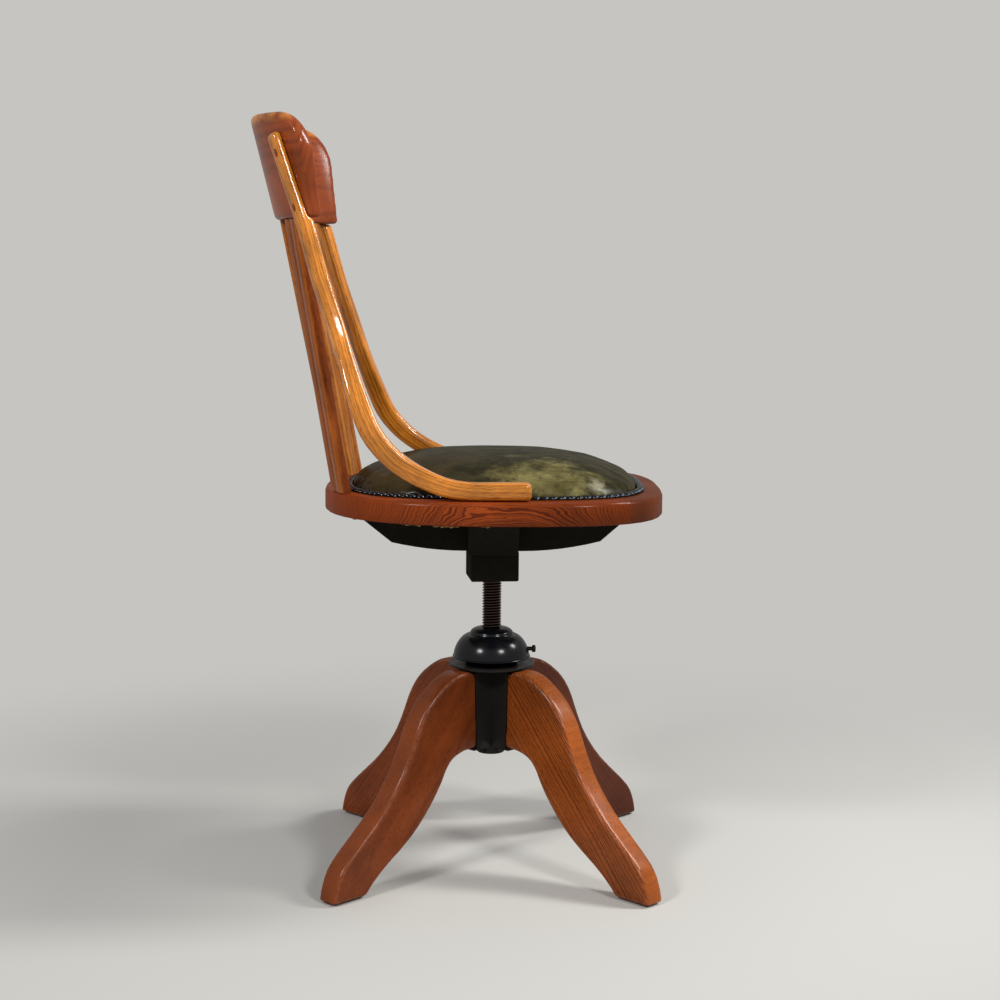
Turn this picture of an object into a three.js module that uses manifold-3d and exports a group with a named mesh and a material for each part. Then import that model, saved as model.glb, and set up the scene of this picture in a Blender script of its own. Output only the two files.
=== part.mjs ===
// Bankers swivel chair: a leather seat in a hardwood frame with bent arms and a slatted back,
// carried by a threaded spindle that screws up and down in a cast hub on four shaped legs.
// Millimetres, +Z up. The sitter faces -Y, and the sitter's right hand is at -X.
import * as THREE from 'three';
import { mergeVertices } from 'three/addons/utils/BufferGeometryUtils.js';
import Module from 'manifold-3d';

const wasm = await Module();
wasm.setup();

// Driving dimensions of the whole chair
const fit = 0.3;
const overrun = 2;
const legReach = 285;
const hubTop = 262;
const seatTop = 498;
const seatHalfWidth = 214;
const seatHalfDepth = 216;
const crestRise = 336;
const crestHeight = 129;
const threadRadius = 12.5;
const castArris = 1;
const arcMiddleShare = 1 - Math.SQRT1_2;

// Hub casting
const hubBottom = 142;
const flangeRadius = 56.5;
const flangeThick = 3;
const flangeDish = 0.8;
const neckRadius = 29;
const neckDrop = 14;
const neckCurveShares = [[0, 1], [0.4, 0.45], [1, 0.1]];
const tubeRadius = 18.3;
const chamberRadius = 15.2;
const chamberFloorRise = 14;
const hubClearance = 0.5;
const cheekThick = 4.6;
const cheekReachTop = 44;
const cheekReachLow = 41.4;
const socketHalf = 11.3;
const socketFloorRise = 13.6;
const lipThick = 2.4;
const lipReach = 47;

// Legs and feet
const legThick = 31;
const legArris = 2.6;
const soleHeight = 2.6;
const soleLength = 51;
const tongueInset = 4.2;
const glideRadius = 10;
const glideFlat = 7;
const glideEdge = 1;
const glideEdgeShare = 0.35;
const legScrewRadius = 2.4;
const legScrewHead = 4.6;
const legScrewLength = 38;

// Height nut and its set screw
const nutRadius = 50.4;
const nutRimRise = 8.5;
const nutLip = 0.6;
const nutLipThick = 1.2;
const nutUndercut = 1.5;
const nutShoulderRise = 38;
const nutShoulderRadius = 29.2;
const nutShoulderStep = 0.9;
const nutDomeShares = [1.1, 1.3];
const nutRise = 47;
const nutSeatRadius = 34;
const setScrewRise = 18;
const setScrewRadius = 2.7;
const setScrewHeadRadius = 4.8;
const setScrewHeadThick = 4.8;
const setScrewNeck = 3;
const setScrewSlot = 1.2;
const setScrewSlotTurn = 60;
const setScrewArris = 1.2;

// Spindle, its stop collar and its block
const spindleFootDrop = 48;
const spindleTailRadius = 8;
const spindleRivetRadius = 10;
const spindleRivetThick = 1;
const collarThick = 8;
const collarRadius = 14.4;
const blockHeight = 40.5;
const blockWidth = 62;
const blockTurn = 6.5;
const blockArris = 2.2;
const blockScrewSpacing = 44;
const blockScrewLength = 53;

// Bearers under the seat
const bearerWidth = 62;
const bearerSideInset = 27;
const bearerFrontInset = 29;
const bearerDepth = 56;
const bearerSlope = 57;
const bearerEndDrop = 45.5;
const bearerFrontSlope = 48;
const bearerFrontDrop = 42.5;
const bearerFlatHalf = 36;
const bearerScrewInset = 9;
const screwRadius = 2.4;
const screwHead = 4.6;

// Seat frame
const railThick = 28;
const railWidth = 61;
const railArris = 5;
const railLowArris = 1.5;
const rebateWidth = 15;
const rebateDepth = 3;
const frontSquareness = 3.2;
const rearSquareness = 2.4;
const cushionRearSquareness = 2.8;
const rearJointSetback = 49.4;
const frontJointSetback = 49.2;

// Seat covering
const webbingWidth = 50;
const webbingThick = 2;
const webbingGap = 28;
const webbingCount = 4;
const webbingEdgeGap = 1;
const liningThick = 1.2;
const liningInset = 50;
const cushionSideInset = 33;
const cushionFrontInset = 22;
const cushionRearInset = 26;
const cushionCrown = 46;
const cushionCrownShares = [3.6, 0.85];
const leatherThick = 2.2;
const borderWidth = 6;
const borderThick = 2.6;
const borderArris = 0.8;

// Crest rail
const crestRadius = 220;
const crestThick = 21;
const crestOverhang = 63;
const crestLean = 14;
const crestLowAngle = 41.4;
const crestHighAngle = 45.8;
const crestCorner = 44;
const crestBow = 5;
const crestTopArris = 7;
const crestLowArris = 2.5;

// Back slats
const slatWidth = 37;
const slatThick = 14;
const slatArris = 3;
const slatGroove = 1.6;
const slatTurn = 24;
const slatSideBase = 105;
const slatSideInset = 27;
const slatSideTop = 82;
const slatCentreInset = 17;
const slatCrestInset = 2.6;
const tenonWidth = 25;
const tenonThick = 7;
const tenonLength = 20;

// Bent arms
const armTopDrop = 28;
const armTopSide = 127.3;
const armCrestSide = 139;
const armFootInset = 22.5;
const armFootHeight = 23;
const armFootWidth = 20.5;
const armTopWidth = 19;
const armTopHeight = 20;
const armKneeHeight = 27;
const armFront = 45;
const armFootBack = 31;
const armProud = 2;
const armArris = 5.5;
const armGroove = 1.1;
const armEndRound = 5;
const armEndShares = [0.33, 0.67, 0.94];
const armKneeShare = 0.45;
const armTwistShare = 0.05;

// Heights and places that follow from the driving dimensions
const frameBottom = seatTop - railThick;
const bearerBelly = frameBottom - bearerDepth;
const blockBottom = bearerBelly - blockHeight;
const chamberFloor = hubBottom + chamberFloorRise;
const socketFloor = hubBottom + socketFloorRise;
const nutRim = hubTop + nutRimRise;
const nutShoulder = hubTop + nutShoulderRise;
const nutTop = hubTop + nutRise;
const setScrewHeight = hubTop + setScrewRise;
const spindleFoot = hubTop - spindleFootDrop;
const crestBottom = seatTop + crestRise;
const crestTop = crestBottom + crestHeight;
const crestRear = seatHalfDepth + crestOverhang;
const armTop = crestTop - armTopDrop;
const armFootSide = seatHalfWidth - armFootInset;
const rightAngle = Math.PI / 2;

// Finish of each piece
const finish = (color, roughness, metalness) =>
  new THREE.MeshStandardMaterial({ color, roughness, metalness });
const crestWood = finish('#5a2a16', 0.3, 0);
const bentWood = finish('#b5682a', 0.3, 0);
const railWood = finish('#7a3318', 0.35, 0);
const legWood = finish('#8a4218', 0.4, 0);
const blackWood = finish('#14110f', 0.5, 0);
const castIron = finish('#17181a', 0.35, 0.6);
const darkSteel = finish('#3a2c28', 0.4, 0.8);
const brightSteel = finish('#8c8c8c', 0.35, 1);
const oliveLeather = finish('#3d3a1e', 0.4, 0);
const horsehair = finish('#5a4a38', 0.95, 0);
const jute = finish('#a8906a', 0.95, 0);

const chair = new THREE.Group();

const radians = THREE.MathUtils.degToRad;
const vector = (x, y, z) => new THREE.Vector3(x, y, z);

// Turns any closed three.js geometry into a solid, with its faces pointing out
function solidOf(geometry) {
  const bare = new THREE.BufferGeometry();
  bare.setAttribute('position', geometry.getAttribute('position').clone());
  if (geometry.index) bare.setIndex(geometry.index.clone());
  const merged = mergeVertices(bare);
  const places = merged.getAttribute('position');
  const index = merged.index.array;
  const kept = [];
  let volume = 0;
  const [a, b, c] = [vector(), vector(), vector()];
  for (let i = 0; i < index.length; i += 3) {
    const [p, q, r] = [index[i], index[i + 1], index[i + 2]];
    if (p === q || q === r || r === p) continue;
    kept.push(p, q, r);
    a.fromBufferAttribute(places, p);
    b.fromBufferAttribute(places, q);
    c.fromBufferAttribute(places, r);
    volume += a.dot(b.cross(c));
  }
  if (volume < 0) kept.reverse();
  return new wasm.Manifold(new wasm.Mesh({
    numProp: 3,
    vertProperties: new Float32Array(places.array),
    triVerts: new Uint32Array(kept),
  }));
}

function geometryOf(solid) {
  const mesh = solid.getMesh();
  const geometry = new THREE.BufferGeometry();
  geometry.setAttribute('position', new THREE.BufferAttribute(mesh.vertProperties, mesh.numProp));
  geometry.setIndex(new THREE.BufferAttribute(mesh.triVerts, 1));
  geometry.computeVertexNormals();
  return geometry;
}

function addPiece(name, solid, material) {
  const mesh = new THREE.Mesh(geometryOf(solid), material);
  mesh.name = name;
  chair.add(mesh);
  return mesh;
}

// Like pieces are numbered from 1
function addSet(name, solids, material) {
  solids.forEach((solid, i) => addPiece(`${name}_${i + 1}`, solid, material));
}

const union = (solids) => solids.reduce((whole, next) => whole.add(next));
const without = (solid, cuts) => cuts.reduce((rest, cut) => rest.subtract(cut), solid);

function box(x0, x1, y0, y1, z0, z1) {
  const geometry = new THREE.BoxGeometry(x1 - x0, y1 - y0, z1 - z0);
  geometry.translate((x0 + x1) / 2, (y0 + y1) / 2, (z0 + z1) / 2);
  return solidOf(geometry);
}

// A profile of [radius, height] pairs turned about the vertical axis
function turned(profile, sides = 48) {
  const points = profile.map(([radius, height]) => new THREE.Vector2(radius, height));
  points.push(points[0].clone());
  const geometry = new THREE.LatheGeometry(points, sides);
  geometry.rotateX(Math.PI / 2);
  return solidOf(geometry);
}

function rod(radius, z0, z1, sides = 24) {
  return turned([[0, z0], [radius, z0], [radius, z1], [0, z1]], sides);
}

// A flat-head wood screw that points up, with its head at z0, or its hole if it is grown
function woodScrew(x, y, z0, radius, head, length, grow = 0) {
  const cone = head - radius;
  const mouth = grow ? [[0, z0 - overrun], [head + 1.5 * grow, z0 - overrun]] : [[0, z0]];
  return turned([
    ...mouth, [head + 1.5 * grow, z0], [radius + grow, z0 + cone + grow / 2],
    [radius + grow, z0 + length + grow], [0, z0 + length + radius + 2 * grow],
  ], 8).translate([x, y, 0]);
}

// Joins closed rings of points, with a fan over each end unless the rings close on themselves
function loft(rings, closed = false) {
  const count = rings[0].length;
  const positions = [];
  const index = [];
  for (const ring of rings) for (const point of ring) positions.push(point.x, point.y, point.z);
  const spans = closed ? rings.length : rings.length - 1;
  for (let i = 0; i < spans; i += 1) {
    const here = i * count;
    const next = ((i + 1) % rings.length) * count;
    for (let j = 0; j < count; j += 1) {
      const k = (j + 1) % count;
      index.push(here + j, here + k, next + k, here + j, next + k, next + j);
    }
  }
  if (!closed) {
    for (const end of [0, rings.length - 1]) {
      const centre = vector(0, 0, 0);
      for (const point of rings[end]) centre.addScaledVector(point, 1 / count);
      const tip = positions.length / 3;
      positions.push(centre.x, centre.y, centre.z);
      for (let j = 0; j < count; j += 1) {
        const edge = [end * count + j, end * count + (j + 1) % count];
        if (end === 0) edge.reverse();
        index.push(edge[0], edge[1], tip);
      }
    }
  }
  const geometry = new THREE.BufferGeometry();
  geometry.setAttribute('position', new THREE.Float32BufferAttribute(positions, 3));
  geometry.setIndex(index);
  return solidOf(geometry);
}

// Outline of the seat: flat and square at the front, rounder behind, inset by a distance
function seatOutline(
  inset, count, halfWidth = seatHalfWidth, front = seatHalfDepth, rear = front,
  rearCurve = rearSquareness,
) {
  const place = (turn) => {
    const squareness = Math.sin(turn) < 0 ? frontSquareness : rearCurve;
    const depth = Math.sin(turn) < 0 ? front : rear;
    const spread = (wave) => Math.sign(wave) * Math.abs(wave) ** (2 / squareness);
    return new THREE.Vector2(halfWidth * spread(Math.cos(turn)), depth * spread(Math.sin(turn)));
  };
  const fine = [];
  const fineCount = count * 16;
  for (let i = 0; i < fineCount; i += 1) fine.push(place((i / fineCount) * 2 * Math.PI));
  const curve = new THREE.CatmullRomCurve3(fine.map((p) => vector(p.x, p.y, 0)), true);
  curve.arcLengthDivisions = fineCount;
  const outline = [];
  for (let i = 0; i < count; i += 1) {
    const point = curve.getPointAt(i / count);
    const along = curve.getTangentAt(i / count);
    outline.push(new THREE.Vector2(point.x - inset * along.y, point.y + inset * along.x));
  }
  return outline;
}

function slabOf(outline, z0, z1) {
  const geometry = new THREE.ExtrudeGeometry(new THREE.Shape(outline), {
    depth: z1 - z0, bevelEnabled: false,
  });
  geometry.translate(0, 0, z0);
  return solidOf(geometry);
}

// The hub casting, with its legs at 45 degrees to the seat
const legTurns = { rear_left: 45, rear_right: 135, front_right: 225, front_left: 315 };
const flangeBottom = hubTop - flangeThick;
const boreRadius = threadRadius + hubClearance;
const cheekOuter = socketHalf + cheekThick;
const neckCurve = (gap) => neckCurveShares.map(([spread, drop]) =>
  [tubeRadius + gap + spread * (neckRadius - tubeRadius), flangeBottom - gap - drop * neckDrop]);

function cheeks(grow) {
  const profile = new THREE.Shape();
  profile.moveTo(socketHalf, socketFloor - lipThick - grow);
  profile.lineTo(cheekReachLow + grow, socketFloor - lipThick - grow);
  profile.lineTo(cheekReachTop + grow, flangeBottom + overrun);
  profile.lineTo(socketHalf, flangeBottom + overrun);
  const plates = [];
  for (const side of [-1, 1]) {
    const geometry = new THREE.ExtrudeGeometry(profile, {
      depth: cheekThick + grow + (grow > 0 ? overrun : 0), bevelEnabled: false,
    });
    geometry.rotateX(Math.PI / 2);
    geometry.translate(0, cheekThick + grow + (grow > 0 ? overrun : 0), 0);
    geometry.translate(0, socketHalf - grow, 0);
    if (side < 0) geometry.scale(1, -1, 1);
    plates.push(solidOf(geometry));
  }
  return union(plates);
}

function hubCasting() {
  const body = turned([
    [0, hubBottom], [tubeRadius - castArris, hubBottom], [tubeRadius, hubBottom + castArris],
    ...neckCurve(0), [flangeRadius - castArris, flangeBottom],
    [flangeRadius, flangeBottom + castArris], [flangeRadius, hubTop + flangeDish - castArris],
    [flangeRadius - castArris, hubTop + flangeDish],
    [nutRadius - overrun, hubTop], [0, hubTop],
  ], 48);
  const sockets = [];
  for (const turn of Object.values(legTurns)) {
    const lip = box(tubeRadius / 2, lipReach, -cheekOuter, cheekOuter,
      socketFloor - lipThick, socketFloor);
    sockets.push(cheeks(0).add(lip).rotate([0, 0, turn]));
  }
  const bore = turned([
    [0, hubBottom - overrun], [boreRadius, hubBottom - overrun], [boreRadius, chamberFloor],
    [chamberRadius, chamberFloor], [chamberRadius, hubTop + overrun], [0, hubTop + overrun],
  ], 24);
  const holes = Object.values(legTurns).map((turn) => legScrew(fit).rotate([0, 0, turn]));
  return without(union([body, ...sockets]), [bore, ...holes]);
}

// Leg screws stand in the middle of each socket lip
const legScrewPlace = (tubeRadius + lipReach) / 2;
function legScrew(grow) {
  return woodScrew(legScrewPlace, 0, socketFloor - lipThick + fit, legScrewRadius,
    legScrewHead, legScrewLength, grow);
}

// The leg's side view: its back as shares of its reach and its height, its belly of the heel's reach
const legBackShares = [
  [0.245, 1], [0.298, 0.985], [0.372, 0.938], [0.446, 0.868], [0.502, 0.778], [0.545, 0.673],
  [0.593, 0.568], [0.653, 0.474], [0.730, 0.381], [0.818, 0.296], [0.902, 0.218],
  [0.956, 0.155], [0.987, 0.078],
];
const legBellyShares = [
  [0.982, 0.016], [0.954, 0.046], [0.862, 0.115], [0.750, 0.180], [0.656, 0.240], [0.581, 0.303],
  [0.503, 0.383], [0.440, 0.463], [0.402, 0.525], [0.351, 0.573], [0.274, 0.597],
];

function leg() {
  const legTop = flangeBottom - fit;
  const tongueFloor = socketFloor + fit;
  const heelReach = legReach - soleLength;
  const along = (whole) => ([reach, rise]) => new THREE.Vector2(reach * whole, rise * legTop);
  const tongueStart = tubeRadius + tongueInset;
  const outline = new THREE.Shape();
  outline.moveTo(tongueStart, tongueFloor);
  outline.lineTo(tongueStart, legTop);
  outline.lineTo(legBackShares[0][0] * legReach, legTop);
  outline.splineThru([...legBackShares.slice(1).map(along(legReach)),
    new THREE.Vector2(legReach, soleHeight)]);
  outline.lineTo(heelReach, soleHeight);
  outline.splineThru([...legBellyShares.map(along(heelReach)),
    new THREE.Vector2(lipReach, tongueFloor)]);
  const geometry = new THREE.ExtrudeGeometry(outline, {
    depth: legThick - 2 * legArris, curveSegments: 2, bevelEnabled: true, bevelSegments: 1,
    bevelSize: legArris, bevelThickness: legArris, bevelOffset: -legArris,
  });
  geometry.translate(0, 0, legArris - legThick / 2);
  geometry.rotateX(Math.PI / 2);
  const block = solidOf(geometry);
  const hub = turned([
    [0, hubBottom], [neckRadius + fit, hubBottom], [neckRadius + fit, flangeBottom - neckDrop],
    [flangeRadius, flangeBottom - fit], [flangeRadius, hubTop], [0, hubTop],
  ], 32);
  const tongueHalf = socketHalf - fit;
  const tongue = box(tongueStart, cheekReachLow, -tongueHalf, tongueHalf,
    tongueFloor, flangeBottom - neckDrop);
  return without(block, [hub, cheeks(fit)]).add(tongue).subtract(legScrew(fit));
}

// A domed steel glide under the sole of a leg
function footGlide() {
  const glideTop = soleHeight - fit;
  return turned([
    [0, 0], [glideFlat, 0], [glideRadius - glideEdge, glideEdgeShare * glideTop],
    [glideRadius, glideTop], [0, glideTop],
  ], 16).translate([legReach - soleLength / 2, 0, 0]);
}

addPiece('hub_casting', hubCasting(), castIron);
const oneLeg = leg();
for (const [place, turn] of Object.entries(legTurns)) {
  addPiece(`leg_${place}`, oneLeg.rotate([0, 0, turn]), legWood);
  addPiece(`foot_glide_${place}`, footGlide().rotate([0, 0, turn]), brightSteel);
  addPiece(`leg_screw_${place}`, legScrew(0).rotate([0, 0, turn]), darkSteel);
}

// The height nut: a cast dome with a stepped shoulder, undercut at its rim
function heightNut() {
  const nutBottom = hubTop + fit;
  const domeFoot = nutRim + 2 * nutLipThick;
  const dome = [];
  const domeSteps = 7;
  for (let i = 0; i <= domeSteps; i += 1) {
    const turn = (i / domeSteps) * (Math.PI / 2);
    dome.push([
      nutShoulderRadius + (nutRadius - nutShoulderRadius) * Math.cos(turn) ** nutDomeShares[0],
      domeFoot + (nutShoulder - domeFoot) * Math.sin(turn) ** nutDomeShares[1],
    ]);
  }
  const mouth = threadRadius + fit + castArris;
  const shoulderFoot = nutShoulder + nutShoulderStep;
  const shoulder = [];
  const shoulderSteps = 3;
  for (let i = 0; i <= shoulderSteps; i += 1) {
    const turn = (i / shoulderSteps) * (Math.PI / 2);
    shoulder.push([
      mouth + (nutShoulderRadius - nutShoulderStep - mouth) * Math.cos(turn),
      shoulderFoot + (nutTop - shoulderFoot) * Math.sin(turn),
    ]);
  }
  const body = turned([
    [0, nutBottom], [nutSeatRadius, nutBottom],
    [nutSeatRadius + nutUndercut, nutRim - nutUndercut], [nutRadius - nutUndercut, nutRim - nutLip],
    [nutRadius + nutLip, nutRim], [nutRadius + nutLip, nutRim + nutLipThick],
    ...dome, ...shoulder, [0, nutTop],
  ], 40);
  const bore = rod(threadRadius + fit, nutBottom - overrun, nutTop + overrun);
  return without(body, [bore, setScrewHole()]);
}

const towardsFront = (solid, height) => solid.rotate([90, 0, 0]).translate([0, 0, height]);
function setScrewHole() {
  return towardsFront(rod(setScrewRadius + fit, threadRadius, nutRadius + overrun, 10),
    setScrewHeight);
}

function setScrew() {
  const neckEnd = nutRadius + setScrewNeck;
  const body = turned([
    [0, threadRadius + fit], [setScrewRadius, threadRadius + fit], [setScrewRadius, neckEnd],
    [setScrewHeadRadius - setScrewArris / 2, neckEnd],
    [setScrewHeadRadius, neckEnd + setScrewArris / 2],
    [setScrewHeadRadius, neckEnd + setScrewHeadThick - setScrewArris],
    [setScrewHeadRadius - setScrewArris, neckEnd + setScrewHeadThick],
    [0, neckEnd + setScrewHeadThick],
  ], 16);
  const slot = box(-setScrewHeadRadius - overrun, setScrewHeadRadius + overrun,
    -setScrewSlot / 2, setScrewSlot / 2,
    neckEnd + setScrewHeadThick / 2, neckEnd + setScrewHeadThick + overrun);
  return towardsFront(body.subtract(slot).rotate([0, 0, setScrewSlotTurn]),
    setScrewHeight);
}

addPiece('height_nut', heightNut(), castIron);
addPiece('set_screw', setScrew(), darkSteel);

// The spindle stands in its block, and the collar rides on a turned tail at its foot
const spindleTop = bearerBelly - 2 * fit;
const collarTop = spindleFoot + collarThick;
addPiece('spindle_stop_collar', turned([
  [spindleTailRadius + fit, spindleFoot + fit], [collarRadius - castArris, spindleFoot + fit],
  [collarRadius, spindleFoot + castArris + fit], [collarRadius, collarTop - castArris],
  [collarRadius - castArris, collarTop], [spindleTailRadius + fit, collarTop],
], 24), darkSteel);
addPiece('spindle', turned([
  [0, spindleFoot - spindleRivetThick], [spindleRivetRadius, spindleFoot - spindleRivetThick],
  [spindleRivetRadius, spindleFoot], [spindleTailRadius, spindleFoot],
  [spindleTailRadius, collarTop + fit], [threadRadius - castArris, collarTop + fit],
  [threadRadius, collarTop + castArris + fit], [threadRadius, spindleTop], [0, spindleTop],
], 24), darkSteel);

function spindleBlock() {
  const half = blockWidth / 2;
  const square = new THREE.Shape();
  square.moveTo(-half, -half);
  square.lineTo(half, -half);
  square.lineTo(half, half);
  square.lineTo(-half, half);
  const blockTop = bearerBelly - fit;
  const geometry = new THREE.ExtrudeGeometry(square, {
    depth: blockTop - blockBottom - 2 * blockArris, bevelSegments: 2, bevelSize: blockArris,
    bevelThickness: blockArris, bevelOffset: -blockArris,
  });
  geometry.translate(0, 0, blockBottom + blockArris);
  const bore = rod(threadRadius + fit, blockBottom - overrun, blockTop + overrun)
    .rotate([0, 0, blockTurn]);
  return without(solidOf(geometry).rotate([0, 0, blockTurn]), [bore, ...blockScrews(fit)]);
}

function blockScrews(grow) {
  const half = blockScrewSpacing / 2;
  const screws = [];
  for (const x of [-half, half]) {
    for (const y of [-half, half]) {
      screws.push(woodScrew(x, y, blockBottom + fit, screwRadius, screwHead,
        blockScrewLength, grow).rotate([0, 0, blockTurn]));
    }
  }
  return screws;
}

addPiece('spindle_block', spindleBlock(), castIron);
addSet('block_screw', blockScrews(0), darkSteel);

// Two crossed bearers, half lapped, with bellied bottoms and sloped ends
const lapHeight = (frameBottom + bearerBelly) / 2;
const liningBottom = frameBottom - fit - liningThick;
const sideHalfLength = seatHalfWidth - bearerSideInset;
const frontHalfLength = seatHalfDepth - bearerFrontInset;
function bearerBlank(seatHalf, halfLength, endSlope, endDrop) {
  const relief = seatHalf - liningInset + overrun;
  const shoulder = halfLength - bearerSlope;
  const endShoulder = halfLength - endSlope;
  const middle = (shoulder + bearerFlatHalf) / 2;
  const endMiddle = (endShoulder + bearerFlatHalf) / 2;
  const profile = new THREE.Shape();
  profile.moveTo(-halfLength, frameBottom - fit);
  profile.lineTo(-endShoulder, frameBottom - endDrop);
  profile.quadraticCurveTo(-endMiddle, bearerBelly, -bearerFlatHalf, bearerBelly);
  profile.lineTo(bearerFlatHalf, bearerBelly);
  profile.quadraticCurveTo(middle, bearerBelly, shoulder, frameBottom - bearerEndDrop);
  profile.lineTo(halfLength, frameBottom - fit);
  profile.lineTo(relief, frameBottom - fit);
  profile.lineTo(relief, liningBottom - 2 * fit);
  profile.lineTo(-relief, liningBottom - 2 * fit);
  profile.lineTo(-relief, frameBottom - fit);
  const geometry = new THREE.ExtrudeGeometry(profile, {
    depth: bearerWidth, curveSegments: 6, bevelEnabled: false,
  });
  geometry.translate(0, 0, -bearerWidth / 2);
  geometry.rotateX(Math.PI / 2);
  return solidOf(geometry);
}

function bearer() {
  const lap = bearerWidth / 2 + fit / 2;
  const upperLap = box(-lap, lap, -lap, lap, lapHeight - fit / 2, frameBottom + overrun);
  const lowerLap = box(-lap, lap, -lap, lap, bearerBelly - overrun, lapHeight + fit / 2);
  const holes = [...bearerScrews(fit), ...blockScrews(fit)];
  const across = bearerBlank(seatHalfWidth, sideHalfLength, bearerSlope, bearerEndDrop);
  const along = bearerBlank(seatHalfDepth, frontHalfLength, bearerFrontSlope, bearerFrontDrop)
    .rotate([0, 0, 90]);
  return {
    across: without(across, [lowerLap, ...holes]),
    along: without(along, [upperLap, ...holes]),
  };
}

// Screws up through the bearer ends into the rails
function bearerScrews(grow) {
  const head = frameBottom - bearerEndDrop * bearerScrewInset / bearerSlope + screwHead;
  const length = seatTop - railThick / 2 - head;
  const screws = [];
  for (const side of [-1, 1]) {
    const screw = (halfLength) => woodScrew(halfLength - bearerScrewInset,
      side * bearerWidth / 4, head, screwRadius, screwHead, length, grow);
    screws.push(screw(sideHalfLength), screw(sideHalfLength).rotate([0, 0, 180]));
    screws.push(screw(frontHalfLength).rotate([0, 0, 90]),
      screw(frontHalfLength).rotate([0, 0, -90]));
  }
  return screws;
}

// Four curved rails cut from one ring, with butt joints
const rebateFloor = seatTop - rebateDepth;
function seatRing() {
  const section = [
    [0, frameBottom + railLowArris], [0, seatTop - railArris],
    [railArris * arcMiddleShare, seatTop - railArris * arcMiddleShare], [railArris, seatTop],
    [railWidth - rebateWidth, seatTop], [railWidth - rebateWidth, rebateFloor],
    [railWidth, rebateFloor], [railWidth, frameBottom], [railLowArris, frameBottom],
  ];
  const stationCount = 56;
  const insetOutlines = section.map(([inset]) => seatOutline(inset, stationCount));
  const rings = [];
  for (let i = 0; i < stationCount; i += 1) {
    rings.push(section.map(([, height], j) => {
      const point = insetOutlines[j][i];
      return vector(point.x, point.y, height);
    }));
  }
  return loft(rings, true);
}

function seatRails() {
  const reach = seatHalfWidth + seatHalfDepth;
  // A joint runs from the middle to the point of the outline that is its setback from the edge
  const sawTurn = (setback, squareness) => {
    const depth = seatHalfDepth - setback;
    const spread = (1 - (depth / seatHalfDepth) ** squareness) ** (1 / squareness);
    return THREE.MathUtils.radToDeg(Math.atan2(depth, seatHalfWidth * spread));
  };
  const rearTurn = sawTurn(rearJointSetback, rearSquareness);
  const frontTurn = sawTurn(frontJointSetback, frontSquareness);
  const saws = [rearTurn, 180 - rearTurn, -frontTurn, 180 + frontTurn];
  const kerf = (turn) => box(0, reach, -fit / 2, fit / 2, frameBottom - overrun,
    seatTop + overrun).rotate([0, 0, turn]);
  const cut = without(seatRing(), saws.map(kerf));
  const rails = {};
  for (const rail of cut.decompose()) {
    const bounds = rail.boundingBox();
    const [x, y] = [bounds.min[0] + bounds.max[0], bounds.min[1] + bounds.max[1]];
    const side = Math.abs(x) > Math.abs(y);
    if (side) rails[x > 0 ? 'left' : 'right'] = rail;
    else rails[y > 0 ? 'rear' : 'front'] = rail;
  }
  return rails;
}

// The crest rail's arc, its lean and its flared ends
const shear = Math.tan(radians(crestLean));
const cornerHeight = crestTop - crestBow - crestCorner;
function crestPoint(share, radius, height) {
  const flare = (height - crestBottom) / (cornerHeight - crestBottom);
  const turn = radians(share * (crestLowAngle + flare * (crestHighAngle - crestLowAngle)));
  const centre = crestRear - crestRadius + shear * (height - crestBottom);
  return vector(radius * Math.sin(turn), centre + radius * Math.cos(turn), height);
}

function crestRail(grow) {
  const cornerShare = 1 - crestCorner / (crestRadius * radians(crestHighAngle));
  const endArris = crestLowArris / (crestRadius * radians(crestHighAngle));
  const spanSteps = 12;
  const cornerSteps = 5;
  const half = [];
  for (let i = 0; i <= spanSteps; i += 1) half.push([(i / spanSteps) * cornerShare, 0]);
  for (let i = 1; i < cornerSteps; i += 1) {
    const turn = (i / cornerSteps) * (Math.PI / 2);
    half.push([cornerShare + (1 - cornerShare) * Math.sin(turn), 0]);
  }
  half.push([1 - endArris, 0],
    [1 - arcMiddleShare * endArris, arcMiddleShare * crestLowArris], [1, crestLowArris]);
  const stations = [...half.slice(1).reverse().map(([u, shrink]) => [-u, shrink]), ...half];
  const rings = stations.map(([share, shrink]) => {
    const u = Math.min(Math.abs(share), 1);
    const corner = Math.max(u - cornerShare, 0) / (1 - cornerShare);
    const top = crestTop - crestBow * u ** 2
      - crestCorner * (1 - Math.sqrt(Math.max(1 - corner ** 2, 0)));
    const thick = crestThick / 2 + grow - shrink;
    const low = crestBottom - grow + shrink;
    const high = top + grow - (grow ? 0 : shrink);
    const middle = crestRadius - crestThick / 2;
    const ring = [];
    const corners = [
      [-thick, low, crestLowArris, 2], [thick, low, crestLowArris, 3],
      [thick, high, crestTopArris, 0], [-thick, high, crestTopArris, 1],
    ];
    const arrisSteps = 2;
    for (const [q, height, arris, quarters] of corners) {
      const size = Math.min(arris, thick);
      const [cq, ch] = [q - Math.sign(q) * size, height + (height === low ? size : -size)];
      for (let k = 0; k <= arrisSteps; k += 1) {
        const turn = (quarters + k / arrisSteps) * rightAngle;
        ring.push(crestPoint(share * (1 + (grow / crestRadius)),
          middle + cq + size * Math.cos(turn), ch + size * Math.sin(turn)));
      }
      if ((height === low) === (q > 0)) {
        ring.push(crestPoint(share * (1 + (grow / crestRadius)), middle + q, (low + high) / 2));
      }
    }
    return ring;
  });
  return loft(rings);
}

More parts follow.
